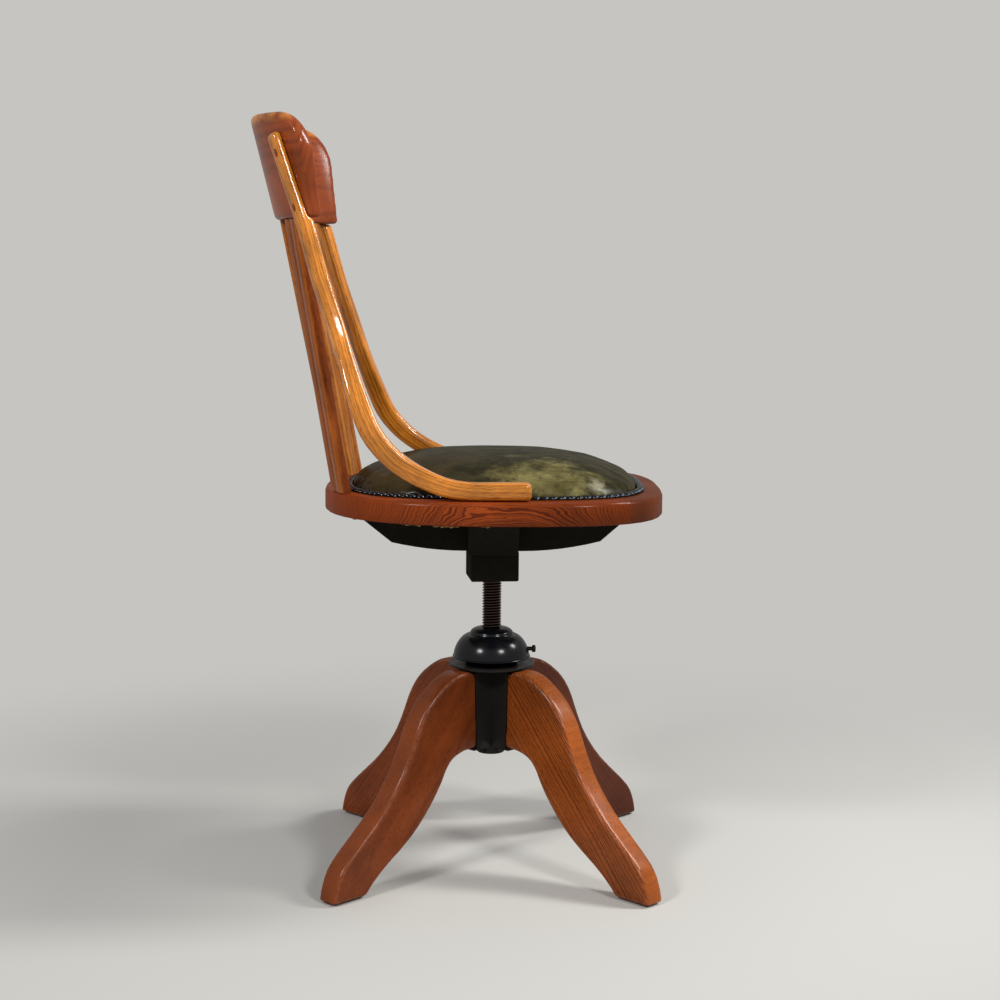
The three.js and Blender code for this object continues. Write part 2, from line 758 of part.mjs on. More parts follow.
// A straight slat on a slanted line, grooved down both faces, with a tenon at each end
function slat(base, top, turn, grow) {
  const axis = top.clone().sub(base).normalize();
  const across = vector(Math.cos(radians(turn)), -Math.sin(radians(turn)), 0);
  const through = vector(Math.sin(radians(turn)), Math.cos(radians(turn)), 0);
  const stretch = (width, thick, groove) => {
    const [w, t] = [width / 2, thick / 2];
    const a = groove ? slatArris : 0;
    const g = groove ? slatGroove : 0;
    const m = arcMiddleShare * a;
    const loop = groove ? [
      [a - w, -t], [-g, -t], [0, g - t], [g, -t], [w - a, -t], [w - m, m - t],
      [w, a - t], [w, t - a], [w - m, t - m], [w - a, t], [g, t], [0, t - g],
      [-g, t], [a - w, t], [m - w, t - m], [-w, t - a], [-w, a - t], [m - w, m - t],
    ] : [[-w, -t], [w, -t], [w, t], [-w, t]];
    const rings = [base.z - 2 * tenonLength, top.z + 2 * tenonLength].map((height) => {
      const run = (height - base.z) / axis.z;
      const centre = base.clone().addScaledVector(axis, run);
      return loop.map(([p, q]) => centre.clone().addScaledVector(across, p)
        .addScaledVector(through, q));
    });
    return loft(rings);
  };
  const reach = seatHalfWidth + seatHalfDepth;
  const between = (z0, z1) => box(-reach, reach, 0, reach, z0, z1);
  const tenon = stretch(tenonWidth + 2 * grow, tenonThick + 2 * grow, false)
    .intersect(between(base.z - tenonLength - grow, top.z + tenonLength + grow));
  if (grow) return tenon;
  return stretch(slatWidth, slatThick, true)
    .intersect(between(base.z + fit, top.z - fit)).add(tenon);
}

const slatRadius = crestRadius - crestThick / 2 - slatCrestInset;
const slatTopDepth = (side) =>
  crestRear - crestRadius + Math.sqrt(slatRadius ** 2 - side ** 2);
const slatPlaces = {
  right: [-slatSideBase, seatHalfDepth - slatSideInset, -slatSideTop, -slatTurn],
  centre: [0, seatHalfDepth - slatCentreInset, 0, 0],
  left: [slatSideBase, seatHalfDepth - slatSideInset, slatSideTop, slatTurn],
};
const slats = (grow) => Object.entries(slatPlaces).map(([name, [x, y, topX, turn]]) => [
  name, slat(vector(x, y, seatTop), vector(topX, slatTopDepth(topX), crestBottom), turn, grow),
]);

// The bent arm's route: lapped on the crest rail, down and outwards, then forward on its rail.
// Each row is a share of the spread, of the reach forward and of the rise.
const armBendShares = [
  [0.04, 0.894, 0.764], [0.13, 0.799, 0.585], [0.40, 0.729, 0.448], [0.74, 0.657, 0.320],
  [0.92, 0.577, 0.208], [0.99, 0.473, 0.131], [1, 0.368, 0.080], [1, 0.249, 0.040],
  [1, 0.130, 0.012],
];
const armRadius = crestRadius + armProud;
const armDepthAt = (side, height) => crestRear - crestRadius + shear * (height - crestBottom)
  + Math.sqrt(armRadius ** 2 - side ** 2);

function armStations() {
  const footHeight = seatTop + fit + armFootHeight / 2;
  const crestDepth = armDepthAt(armCrestSide, crestBottom);
  const bend = armBendShares.map(([spread, reach, rise]) => vector(
    armCrestSide + spread * (armFootSide - armCrestSide),
    armFootBack + reach * (crestDepth - armFootBack),
    footHeight + rise * (crestBottom - footHeight),
  ));
  const route = new THREE.CatmullRomCurve3([
    vector(armTopSide, armDepthAt(armTopSide, armTop), armTop),
    vector((armTopSide + armCrestSide) / 2,
      armDepthAt((armTopSide + armCrestSide) / 2, (armTop + crestBottom) / 2),
      (armTop + crestBottom) / 2),
    vector(armCrestSide, crestDepth, crestBottom), ...bend,
    vector(armFootSide, armFootBack, footHeight),
    vector(armFootSide, (armFootBack - armFront) / 2, footHeight),
    vector(armFootSide, -armFront, footHeight),
  ], false, 'centripetal');
  return { route, footHeight };
}

function arm(mirror) {
  const { route, footHeight } = armStations();
  const stationCount = 44;
  const length = route.getLength();
  const roundShare = armEndRound / length;
  const shares = [];
  for (let i = 0; i <= stationCount; i += 1) {
    shares.push([roundShare + (i / stationCount) * (1 - 2 * roundShare), 0]);
  }
  const caps = armEndShares.map((share) => share * rightAngle).map((turn) =>
    [roundShare * (1 - Math.sin(turn)), armEndRound * (1 - Math.cos(turn))]);
  const stations = [...caps.slice().reverse(), ...shares,
    ...caps.map(([share, shrink]) => [1 - share, shrink])];
  const rings = stations.map(([share, shrink]) => {
    const centre = route.getPointAt(share);
    const along = route.getTangentAt(share);
    const rise = THREE.MathUtils.clamp((centre.z - footHeight) / (crestBottom - footHeight), 0, 1);
    const upper = THREE.MathUtils.smoothstep(rise, armTwistShare, 1);
    const turn = upper * Math.asin(armCrestSide / armRadius);
    const across = vector(Math.cos(turn), -Math.sin(turn), 0);
    across.addScaledVector(along, -across.dot(along)).normalize();
    const through = along.clone().cross(across);
    const width = THREE.MathUtils.lerp(armFootWidth, armTopWidth, upper);
    const knee = Math.sin(Math.PI * Math.min(rise / armKneeShare, 1));
    const height = THREE.MathUtils.lerp(armFootHeight, armTopHeight, upper)
      + knee * (armKneeHeight - armFootHeight);
    const [w, t, a, g] = [width / 2 - shrink, height / 2 - shrink, armArris, armGroove];
    const loop = [];
    const corners = [[1, 1, 0], [-1, 1, 1], [-1, -1, 2], [1, -1, 3]];
    const arrisSteps = 2;
    for (const [sx, sy, quarters] of corners) {
      const size = Math.min(a, w / 2, t / 2);
      const half = Math.min(2 * g, w - size);
      for (let k = 0; k <= arrisSteps; k += 1) {
        const angle = (quarters + k / arrisSteps) * rightAngle;
        loop.push([sx * (w - size) + size * Math.cos(angle), sy * (t - size)
          + size * Math.sin(angle)]);
      }
      if (quarters === 0) loop.push([half, t], [0, t - g], [-half, t]);
      if (quarters === 2) loop.push([-half, -t], [0, g - t], [half, -t]);
    }
    return loop.map(([p, q]) => centre.clone().addScaledVector(across, p)
      .addScaledVector(through, q));
  });
  const planed = box(0, seatHalfWidth, -seatHalfDepth, seatHalfDepth, frameBottom, seatTop + fit);
  const bent = loft(rings).subtract(planed);
  return (mirror ? bent.mirror([1, 0, 0]) : bent).subtract(crestRail(fit));
}

// Screws up through the side rails into the feet of the arms
function armScrews(grow) {
  const middle = (armFootBack - armFront) / 2;
  const spacing = (armFootBack + armFront) / 4;
  const length = railThick + armFootHeight / 2;
  const screws = [];
  for (const side of [-1, 1]) {
    for (const y of [middle - spacing, middle + spacing]) {
      screws.push(woodScrew(side * armFootSide, y, frameBottom + fit, screwRadius,
        screwHead, length, grow));
    }
  }
  return screws;
}

const slatSolids = slats(0);
const tenonHoles = union(slats(fit).map(([, solid]) => solid));
const screwHoles = [...bearerScrews(fit), ...armScrews(fit)];
for (const [place, rail] of Object.entries(seatRails())) {
  addPiece(`seat_rail_${place}`, without(rail, [tenonHoles, ...screwHoles]), railWood);
}
const bearers = bearer();
addPiece('bearer_side_to_side', bearers.across, blackWood);
addPiece('bearer_front_to_back', bearers.along, blackWood);
addSet('bearer_screw', bearerScrews(0), darkSteel);
addPiece('crest_rail', crestRail(0).subtract(tenonHoles), crestWood);
for (const [place, solid] of slatSolids) addPiece(`back_slat_${place}`, solid, bentWood);
addPiece('arm_left', without(arm(false), armScrews(fit)), bentWood);
addPiece('arm_right', without(arm(true), armScrews(fit)), bentWood);
addSet('arm_screw', armScrews(0), darkSteel);

// Webbing crossed over the opening of the frame, its ends in the rebate
function webbing() {
  const reach = seatHalfWidth + seatHalfDepth;
  const floor = rebateFloor + fit;
  const straps = [];
  for (let i = 0; i < webbingCount; i += 1) {
    const middle = (i - (webbingCount - 1) / 2) * (webbingWidth + webbingGap);
    const edges = [middle - webbingWidth / 2, middle + webbingWidth / 2];
    straps.push(box(-reach, reach, ...edges, floor, floor + webbingThick));
    straps.push(box(...edges, -reach, reach, floor, floor + webbingThick));
  }
  const seat = slabOf(seatOutline(railWidth - rebateWidth + webbingEdgeGap, 28), floor - overrun,
    floor + webbingThick + overrun);
  return union(straps).intersect(seat);
}

// A crowned form over the seat opening: rings of [share of the outline, height]
function crowned(profile, count) {
  const front = seatHalfDepth - cushionFrontInset;
  const rear = seatHalfDepth - cushionRearInset;
  const outline = seatOutline(0, count, seatHalfWidth - cushionSideInset, front, rear,
    cushionRearSquareness);
  return loft(profile.map(([share, height]) => outline.map((point) =>
    vector(point.x * share, point.y * share, height))));
}

const cushionFloor = seatTop + fit;
const borderTop = cushionFloor + borderThick;
const cushionHalfWidth = seatHalfWidth - cushionSideInset;
const crownShare = 1 - borderWidth / cushionHalfWidth;
const crownAt = (share) => borderTop + (cushionCrown - borderThick)
  * (1 - (share / crownShare) ** cushionCrownShares[0]) ** cushionCrownShares[1];

// Rings of the crown from its edge up to its middle, drawn in by a gap
function crownRings(count, gap) {
  const rings = [];
  for (let i = count; i > 0; i -= 1) {
    const share = crownShare * Math.sin((i / count) * (Math.PI / 2));
    const height = Math.max(crownAt(share) - gap, cushionFloor + (gap ? fit : borderThick));
    rings.push([share - 2 * gap / cushionHalfWidth, height]);
  }
  return [...rings, [rings[count - 1][0] / count, crownAt(0) - gap]];
}

function leather() {
  const top = crowned([[1, cushionFloor], [1, borderTop - borderArris],
    [1 - borderArris / cushionHalfWidth, borderTop], ...crownRings(9, 0)], 44);
  const rings = crownRings(8, leatherThick);
  const hollow = crowned([[rings[0][0], cushionFloor - overrun], ...rings], 30);
  return top.subtract(hollow);
}

function stuffing() {
  const rings = crownRings(6, leatherThick + borderThick);
  return crowned([[rings[0][0], cushionFloor], ...rings], 28);
}

addPiece('webbing', webbing(), jute);
addPiece('seat_stuffing', stuffing(), horsehair);
addPiece('seat_leather', leather(), oliveLeather);
addPiece('bottom_lining', slabOf(seatOutline(liningInset, 48), liningBottom, frameBottom - fit),
  jute);

// The origin is on the floor, under the middle of the chair's box
const bounds = new THREE.Box3().setFromObject(chair, true);
const middle = bounds.getCenter(vector());
chair.position.set(-middle.x, -middle.y, -bounds.min.z);

export default chair;
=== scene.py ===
# %% [markdown]
# # A bankers swivel chair
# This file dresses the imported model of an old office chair. The model is the frame: it
# gives every piece its place, in metres, and this script gives the pieces their grain,
# their threads, their nails and their finish. The sitter faces -Y and the floor is at
# zero. Each piece below is made, given its finish, and tied to the body that it moves with.

# %% The frame
import math
import random
from functools import partial

import bmesh
import bpy
from mathutils import Matrix, Vector, geometry, noise
from mathutils.bvhtree import BVHTree


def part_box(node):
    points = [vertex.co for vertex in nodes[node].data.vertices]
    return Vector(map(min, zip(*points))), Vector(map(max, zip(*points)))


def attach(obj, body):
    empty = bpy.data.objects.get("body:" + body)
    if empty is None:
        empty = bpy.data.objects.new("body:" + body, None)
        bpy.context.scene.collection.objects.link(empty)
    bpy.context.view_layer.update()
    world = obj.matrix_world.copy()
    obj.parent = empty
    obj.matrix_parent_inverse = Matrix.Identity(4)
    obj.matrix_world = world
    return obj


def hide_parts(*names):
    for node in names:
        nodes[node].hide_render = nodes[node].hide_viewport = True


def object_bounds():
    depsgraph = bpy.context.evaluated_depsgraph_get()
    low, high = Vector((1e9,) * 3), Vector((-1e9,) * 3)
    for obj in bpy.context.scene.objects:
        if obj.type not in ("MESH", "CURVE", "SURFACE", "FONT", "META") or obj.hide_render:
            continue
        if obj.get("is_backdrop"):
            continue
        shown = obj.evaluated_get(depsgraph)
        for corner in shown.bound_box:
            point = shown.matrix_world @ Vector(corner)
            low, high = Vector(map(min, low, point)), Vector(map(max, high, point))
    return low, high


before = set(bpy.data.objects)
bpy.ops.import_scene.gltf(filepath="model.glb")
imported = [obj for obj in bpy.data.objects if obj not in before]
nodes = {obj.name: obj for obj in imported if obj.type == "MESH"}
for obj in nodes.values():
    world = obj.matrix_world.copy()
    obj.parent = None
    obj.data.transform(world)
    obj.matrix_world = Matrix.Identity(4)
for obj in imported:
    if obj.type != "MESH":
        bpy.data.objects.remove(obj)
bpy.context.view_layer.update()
mm = 0.001
spindle_low, spindle_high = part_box("spindle")


def middle_of(low, high, height=0):
    """The middle of a box as seen from above, at some height."""
    return Vector((*((low + high) / 2).xy, height))


swivel = middle_of(spindle_low, spindle_high)
print("the frame holds", len(nodes), "nodes, its swivel axis is at", tuple(swivel))

# %% [markdown]
# ## The camera
# The photograph was taken from the sitter's right, a little above the seat, with a long
# lens. The camera is placed by the same words: how far from the swivel axis it stands, how
# high, and how it is turned, tilted and rolled. Chained matrices keep each word separate.


# %% The camera
def new_object(name, data):
    """An object in the scene for some data, such as a mesh, a lamp or a camera."""
    thing = bpy.data.objects.new(name, data)
    bpy.context.scene.collection.objects.link(thing)
    return thing


lens_length = 65.6
camera_height = 0.761
camera_distance = 2.357
camera_aside = 0.0096
camera_tilt = math.radians(6.88)
camera_roll = math.radians(0.49)
camera_heading = -math.radians(90 + 0.84)

camera = new_object("camera", bpy.data.cameras.new("camera"))
camera.data.lens = lens_length
camera.data.clip_end = 50
camera.matrix_world = (
    Matrix.Translation(swivel)
    @ Matrix.Rotation(camera_heading, 4, "Z")
    @ Matrix.Translation((camera_aside, -camera_distance, camera_height))
    @ Matrix.Rotation(math.radians(90) - camera_tilt, 4, "X")
    @ Matrix.Rotation(camera_roll, 4, "Z")
)
bpy.context.scene.camera = camera
bpy.context.scene.view_settings.view_transform = "Standard"
print("the camera stands at", tuple(camera.location))

# %% [markdown]
# ## Colours and nodes
# A colour is given as an sRGB hex value, and Blender mixes light in linear numbers, so
# one function turns one into the other. A second function adds a shader node with its
# settings and its links in one line, which keeps each material short enough to read. Inputs
# are given by name, or as a list in the order in which the node shows them. A hex colour is
# turned to linear there, and a node stands for its first output that is in use.


# %% Colours and nodes
def linear(hex_colour):
    """The linear colour of an sRGB hex value."""
    shares = [int(hex_colour[i : i + 2], 16) / 255 for i in (1, 3, 5)]
    return (*[s / 12.92 if s <= 0.04045 else ((s + 0.055) / 1.055) ** 2.4 for s in shares], 1)


eased = {"interpolation_type": "SMOOTHSTEP"}


def set_input(material, socket, value):
    """Gives an input a value, a hex colour, a link from an output, or one from a node."""
    if isinstance(value, str):
        value = linear(value)
    if isinstance(value, bpy.types.Node):
        value = next(output for output in value.outputs if output.enabled)
    if isinstance(value, bpy.types.NodeSocket):
        material.node_tree.links.new(value, socket)
    else:
        socket.default_value = value


def add_node(material, kind, inputs=(), **settings):
    """A new node, its inputs, by name or in order, and its settings."""
    node = material.node_tree.nodes.new("ShaderNode" + kind)
    for name, value in settings.items():
        setattr(node, name, value)
    named = inputs if isinstance(inputs, dict) else dict(enumerate(inputs))
    for socket, value in named.items():
        set_input(material, node.inputs[socket], value)
    return node


def new_finish(name, **inputs):
    """A material and its shader, with the shader's constant values set on its own sockets."""
    material = bpy.data.materials.new(name)
    material.use_nodes = True
    shader = material.node_tree.nodes["Principled BSDF"]
    wire(material, shader, **inputs)
    return material, shader


def wire(material, shader, **inputs):
    """Gives the shader's sockets constant values or nodes."""
    for socket, value in inputs.items():
        set_input(material, shader.inputs[socket.replace("_", " ")], value)


print("white is", linear("#ffffff"))

# %% [markdown]
# ## The studio
# A plain pale floor runs into a background of the same paper, so nothing but the chair has an
# edge. Near the chair the floor is lit and holds the shadows. Further off it fades into plain
# paper, which only the camera, mirrors and glass see, so it puts no light on the chair. The
# world fills the shadows with a weak light of its own.


# %% The studio
def as_mesh(name, shape):
    """The mesh of a finished bmesh."""
    mesh = bpy.data.meshes.new(name)
    shape.to_mesh(mesh)
    shape.free()
    return mesh


floor_half = 30.0
lit_radius = 0.45
paper_radius = 1.35
paper = "#c6c5c1"
floor_finish, floor_shader = new_finish(
    "pale_paper", Base_Color="#c6c4be", Roughness=0.95, Specular_IOR_Level=0.1,
)
floor_shape = bmesh.new()
bmesh.ops.create_grid(floor_shape, x_segments=1, y_segments=1, size=floor_half)
floor_mesh = as_mesh("floor", floor_shape)
floor_mesh.materials.append(floor_finish)
floor = new_object("floor", floor_mesh)
floor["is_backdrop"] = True


def seen_rays(material):
    """One for a ray that comes from the camera, a mirror or glass, and zero for light."""
    ray = add_node(material, "LightPath")
    direct = add_node(material, "Math", [
        ray.outputs["Is Camera Ray"], ray.outputs["Is Transmission Ray"],
    ], operation="MAXIMUM")
    return add_node(material, "Math", [direct, ray.outputs["Is Glossy Ray"]], operation="MAXIMUM")


on_floor = partial(add_node, floor_finish)
from_chair = on_floor("VectorMath", [
    on_floor("TexCoord").outputs["Object"], swivel,
], operation="DISTANCE")
far_off = on_floor("MapRange", [from_chair, lit_radius, paper_radius], **eased)
faded = on_floor("Math", [far_off, seen_rays(floor_finish)], operation="MULTIPLY")
plain_paper = on_floor("Emission", {"Color": paper, "Strength": 1.0})
floor_mix = on_floor("MixShader", [faded, floor_shader, plain_paper])
floor_finish.node_tree.links.new(
    floor_mix.outputs[0], floor_finish.node_tree.nodes["Material Output"].inputs[0]
)

world = bpy.data.worlds.new("studio")
world.use_nodes = True
bpy.context.scene.world = world
fill_light = world.node_tree.nodes["Background"]
set_input(world, fill_light.inputs["Color"], "#ccd0d6")
fill_light.inputs["Strength"].default_value = 0.42
shown_paper = add_node(world, "Background", {"Color": paper, "Strength": 1.0})
world_mix = add_node(world, "MixShader", [seen_rays(world), fill_light, shown_paper])
world.node_tree.links.new(world_mix.outputs[0], world.node_tree.nodes["World Output"].inputs[0])
print("the lit floor reaches", lit_radius, "m from the chair")

# %% [markdown]
# ## The lamps
# Two soft boxes stand to the left and right of the camera, where the twin highlights on the
# iron nut show that they stood. A third, tall and narrow, stands in front of the chair and
# draws the bright lines down the bent arms.


# %% The lamps
seat_height = 0.5


def soft_box(name, turn, height, distance, width, depth, power):
    """A soft box that looks at the seat, turned from the camera's side of the chair."""
    lamp = bpy.data.lights.new(name, "AREA")
    lamp.shape = "RECTANGLE"
    lamp.size = width
    lamp.size_y = depth
    lamp.energy = power
    box = new_object(name, lamp)
    aim = swivel + Vector((0, 0, seat_height))
    heading = camera_heading + math.radians(turn)
    place = swivel + Matrix.Rotation(heading, 3, "Z") @ Vector((0, -distance, height))
    facing = (aim - place).to_track_quat("-Z", "Y").to_matrix().to_4x4()
    box.matrix_world = Matrix.Translation(place) @ facing


soft_box("soft_box_left", -42, height=2.1, distance=2.4, width=0.5, depth=0.35, power=36)
soft_box("soft_box_right", 36, height=2.1, distance=2.4, width=0.5, depth=0.35, power=32)
soft_box("soft_box_front", 94, height=1.9, distance=1.6, width=0.4, depth=0.9, power=38)
print(len(bpy.data.lights), "lamps")

# %% [markdown]
# ## Making a piece
# Every piece ends the same way: its bmesh becomes a mesh whose object stays at the origin,
# it gets its finish, it is tied to the body that it rides on, and the plain solid that it
# stands for is hidden. Edges that turn sharply stay crisp and all others are shaded smooth.
# Most pieces start from a copy of their imported solid, whose split corners are joined and
# whose flat faces are made whole again.


# %% Making a piece
def sharpen(shape, limit):
    """Smooth shading, with the edges that turn by more than limit degrees kept crisp."""
    for face in shape.faces:
        face.smooth = True
    for edge in shape.edges:
        edge.smooth = edge.is_manifold and edge.calc_face_angle(0) < math.radians(limit)


def finish_piece(name, shape, finish, body, replaced=(), limit=40):
    """Makes the object of a finished bmesh and ties it to its body."""
    sharpen(shape, limit)
    mesh = as_mesh(name, shape)
    mesh.materials.append(finish)
    piece = new_object(name, mesh)
    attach(piece, body)
    if replaced:
        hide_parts(*replaced)
    print(name, "has", len(mesh.polygons), "faces")
    return piece


flat_angle = 0.5
weld = 0.01 * mm


def copied(node):
    """A merged bmesh copy of a node, its flat faces joined."""
    shape = bmesh.new()
    shape.from_mesh(nodes[node].data)
    bmesh.ops.remove_doubles(shape, verts=shape.verts, dist=weld)
    bmesh.ops.dissolve_limit(
        shape, angle_limit=math.radians(flat_angle), verts=shape.verts, edges=shape.edges,
    )
    return shape


print("split corners within", weld, "m are joined")

# %% [markdown]
# ## Grain
# Wood is a solid pattern, long in one direction. Each wooden piece stores where every point
# lies along the grain, across it and through it, in metres, and the wood finishes read
# that. A sawn piece takes a straight line for its grain, and a bent one the line that it
# was bent to, so its streaks follow the bend as they do on steamed wood.


# %% Grain
def lay_grain(shape, route, side, shift=Vector((0, 0, 0))):
    """Stores each point's place along, across and through the grain of a bent route."""
    layer = shape.verts.layers.float_vector.new("grain")
    lengths = [0.0]
    for start, end in zip(route, route[1:]):
        lengths.append(lengths[-1] + (end - start).length)
    for vert in shape.verts:
        best = None
        for i, (start, end) in enumerate(zip(route, route[1:])):
            run = (end - start).normalized()
            reach = (vert.co - start).dot(run)
            # The first and the last step of the route run on past their ends
            held = max(reach, 0.0) if i > 0 else reach
            if i < len(route) - 2:
                held = min(held, (end - start).length)
            gap = (vert.co - start - run * held).length
            if best is None or gap < best[0]:
                best = (gap, i, run, start, held)
        gap, i, run, start, held = best
        across = (side - run * side.dot(run)).normalized()
        offset = vert.co - start
        vert[layer] = Vector((
            lengths[i] + held, offset.dot(across), offset.dot(run.cross(across)),
        )) + shift
    return shape


print("grain can be laid")

# %% [markdown]
# ## Varnished oak
# The frame is oak under old shellac and wax. Each year adds a ring round the heart of the
# tree: a band of wide open pores, which takes the stain dark, then dense pale wood. A saw cut
# shows those rings as lines, and their shape comes from where the heart lay. So the finish
# measures each point's distance from the heart and reads a noise of that one number, which
# gives rings of uneven width, as dry and wet years do. Short pores lie along the grain and
# are darkest in the dark bands. The varnish is a thin clear coat that carries the highlights.
# Real pores are about a third of a millimetre wide. They are drawn about twice as wide, so
# that they show at the size of the picture.
#
# Where hands and shoes rub an edge, the varnish wears through to pale wood, in ragged patches.
# The same pale band also paints a highlight along edges that catch the light. That layer is
# made first, by the place of a point across or through the grain.


# %% Rubbed and lit edges
def pale_edge_wear_and_highlight(material, place, colour, edge_wear_and_highlight):
    """Pale wood where the finish is rubbed through, and a painted highlight on edges that catch the
    light, in a band of one grain coordinate.
    """
    add = partial(add_node, material)
    parts = add("SeparateXYZ", [place])
    reach = add("Math", [
        parts.outputs[edge_wear_and_highlight["axis"]], 0.0,
    ], operation="ABSOLUTE" if edge_wear_and_highlight["both"] else "ADD")
    into = add("MapRange", [reach, edge_wear_and_highlight["from"], edge_wear_and_highlight["to"]], **eased)
    out_of = add("MapRange", [reach, edge_wear_and_highlight["end"] - 0.2 * mm, edge_wear_and_highlight["end"], 1.0, 0.0])
    patches = add("TexNoise", {
        "Vector": place, "Scale": 1 / edge_wear_and_highlight["patch"], "Detail": 4.0, "Roughness": 0.7,
    })
    some = add("MapRange", [patches, 0.42, 0.6, 0.0, edge_wear_and_highlight["share"]])
    band = add("Math", [into, out_of], operation="MULTIPLY")
    paler_share = add("Math", [band, some], operation="MULTIPLY")
    return add("Mix", {0: paler_share, 6: colour, 7: edge_wear_and_highlight["colour"]}, data_type="RGBA")


print("edges can be rubbed through")


# %% Varnished oak
def varnished_oak(
    name, pale, deep, pore, ring, heart, pore_size, wander, ring_share=1.0, pore_share=0.8,
    rough=0.4, coat=0.3, coat_rough=0.12, tone_share=0.2, painted_start_shade=0.0, faced=None, edge_wear_and_highlight=None,
):
    """Oak round a heart that lies at heart, with rings and pores of real widths, in metres."""
    material, shader = new_finish(
        name, Coat_Weight=coat, Coat_Roughness=coat_rough, Specular_IOR_Level=0.0,
    )
    add = partial(add_node, material)
    place = add("Attribute", attribute_name="grain").outputs["Vector"]
    # The rings waver over about a hand's breadth along the grain
    wide = add("Mapping", {"Vector": place, "Scale": (1 / 0.1, 1 / 0.035, 1 / 0.035)})
    wobble = add("TexNoise", {"Vector": wide, "Scale": 1.0, "Detail": 3.0, "Roughness": 0.55})
    centred = add("VectorMath", [wobble.outputs["Color"], (0.5, 0.5, 0.5)], operation="SUBTRACT")
    wavy = add("VectorMath", [centred, (wander, wander, wander), place], operation="MULTIPLY_ADD")
    from_heart = add("VectorMath", [wavy, (0, heart[0], heart[1])], operation="SUBTRACT")
    spoke = add("VectorMath", [from_heart, (0, 1, 1)], operation="MULTIPLY")
    radius = add("VectorMath", [spoke], operation="LENGTH")
    # A noise swings through dark and pale about once in two units
    years = add("Math", [radius, 2 / ring], operation="MULTIPLY")
    rings = add("TexNoise", {"W": years, "Scale": 1.0, "Detail": 1.5}, noise_dimensions="1D")
    early = add("MapRange", [rings, 0.40, 0.62, 0.0, ring_share], **eased)
    parts = add("SeparateXYZ", [place])
    if faced:
        # The rings fade out on the narrow faces, which look plain on this chair
        depth = add("Math", [parts.outputs[2]], operation="ABSOLUTE")
        shown = add("MapRange", [depth, faced[0], faced[1], 0.15], **eased)
        early = add("Math", [early, shown], operation="MULTIPLY")
    cells = add("Mapping", {
        "Vector": wavy, "Scale": (1 / pore_size[0], 1 / pore_size[1], 1 / pore_size[1]),
    })
    pores = add("TexNoise", {"Vector": cells, "Scale": 1.0, "Roughness": 0.6})
    open_pores = add("MapRange", [pores, 0.5, 0.66, 0.0, pore_share], **eased)
    mostly_early = add("MapRange", [early, 0.0, 1.0, 0.4])
    dark_pores = add("Math", [open_pores, mostly_early], operation="MULTIPLY")
    ringed = add("Mix", {0: early, 6: pale, 7: deep}, data_type="RGBA")
    streaked = add("Mix", {0: dark_pores, 6: ringed, 7: pore}, data_type="RGBA")
    blotches = add("TexNoise", {"Vector": place, "Scale": 1 / 0.06})
    tone = add("MapRange", [blotches, 0.3, 0.7, 1 - tone_share, 1 + tone_share])
    # Painted shade darkens the end where the grain starts: the top of each leg near the hub and the
    # front end of the near rail
    start_shade_factor = add("MapRange", [parts.outputs[0], 0.0, 0.11, 1 - painted_start_shade], **eased)
    darkened = add("Math", [tone, start_shade_factor], operation="MULTIPLY")
    toned = add("VectorMath", {0: streaked, "Scale": darkened}, operation="SCALE")
    colour = pale_edge_wear_and_highlight(material, place, toned, edge_wear_and_highlight) if edge_wear_and_highlight else toned
    matt = add("MapRange", [pores, 0.4, 0.7, rough - 0.06, rough + 0.12])
    relief = add("Bump", {"Height": pores, "Strength": 0.2, "Distance": 0.2 * mm}, invert=True)
    wire(material, shader, Base_Color=colour, Roughness=matt, Normal=relief)
    return material


print("oak can be varnished")

# %% [markdown]
# ## The cuts of oak
# The pieces came from different boards, so each has its own colour, and its own place for
# the heart of the tree. The arms are honey coloured with long pores, the rails are red-brown
# with fine rings, and the crest rail is dark red, paler along its top edge, partly from wear and
# partly as a painted highlight. The front and left rails are darker, as painted shade.

# %% The cuts of oak
arm_oak = varnished_oak(
    "honey_oak", "#d8862a", "#935018", "#3e1b08", ring=5 * mm, heart=(0.03, 0.05),
    pore_size=(0.014, 0.55 * mm), wander=0.006, ring_share=0.6, pore_share=1.0, coat=1.0,
    coat_rough=0.13, tone_share=0.3,
)
slat_oak = {
    place: varnished_oak(
        f"slat_oak_{place}", pale, deep, "#40190b", ring=5 * mm, heart=(0.04, 0.03),
        pore_size=(0.010, 0.7 * mm), wander=0.004, coat=0.35,
    ) for place, pale, deep in (
        ("right", "#a2581f", "#763613"), ("centre", "#b06829", "#8a4a1b"),
        ("left", "#b87233", "#925220"),
    )
}
# The front and left rails take darker colours than the right and rear ones, as painted shade.
rail_oak_and_shade = {
    place: varnished_oak(
        f"red_brown_oak_{place}", pale, deep, "#3c1507", ring=1.0 * mm,
        heart=(0.02, 0.08), pore_size=(0.005, 0.6 * mm), wander=0.007, pore_share=0.5,
        # This darkens the front end of the near rail, as painted shade.
        coat=0.18, coat_rough=0.2, painted_start_shade=0.4,
    ) for place, pale, deep in (
        ("right", "#964219", "#62270f"), ("rear", "#964219", "#62270f"),
        ("front", "#642e16", "#46200e"), ("left", "#642e16", "#46200e"),
    )
}
crest_wood = varnished_oak(
    "dark_red_crest", "#8b3f1a", "#672b12", "#38140a", ring=9 * mm, heart=(0.03, -0.09),
    pore_size=(0.006, 0.8 * mm), wander=0.006, ring_share=0.5, pore_share=0.55, rough=0.34,
    coat=0.45, coat_rough=0.16,
    # The pale top band is partly wear and partly a painted highlight where the top of the rail
    # catches the light.
    edge_wear_and_highlight={"axis": 1, "both": False, "from": 0.112, "to": 0.122, "end": 0.2, "patch": 0.05,
         "share": 1.0, "colour": "#c9803a"},
)
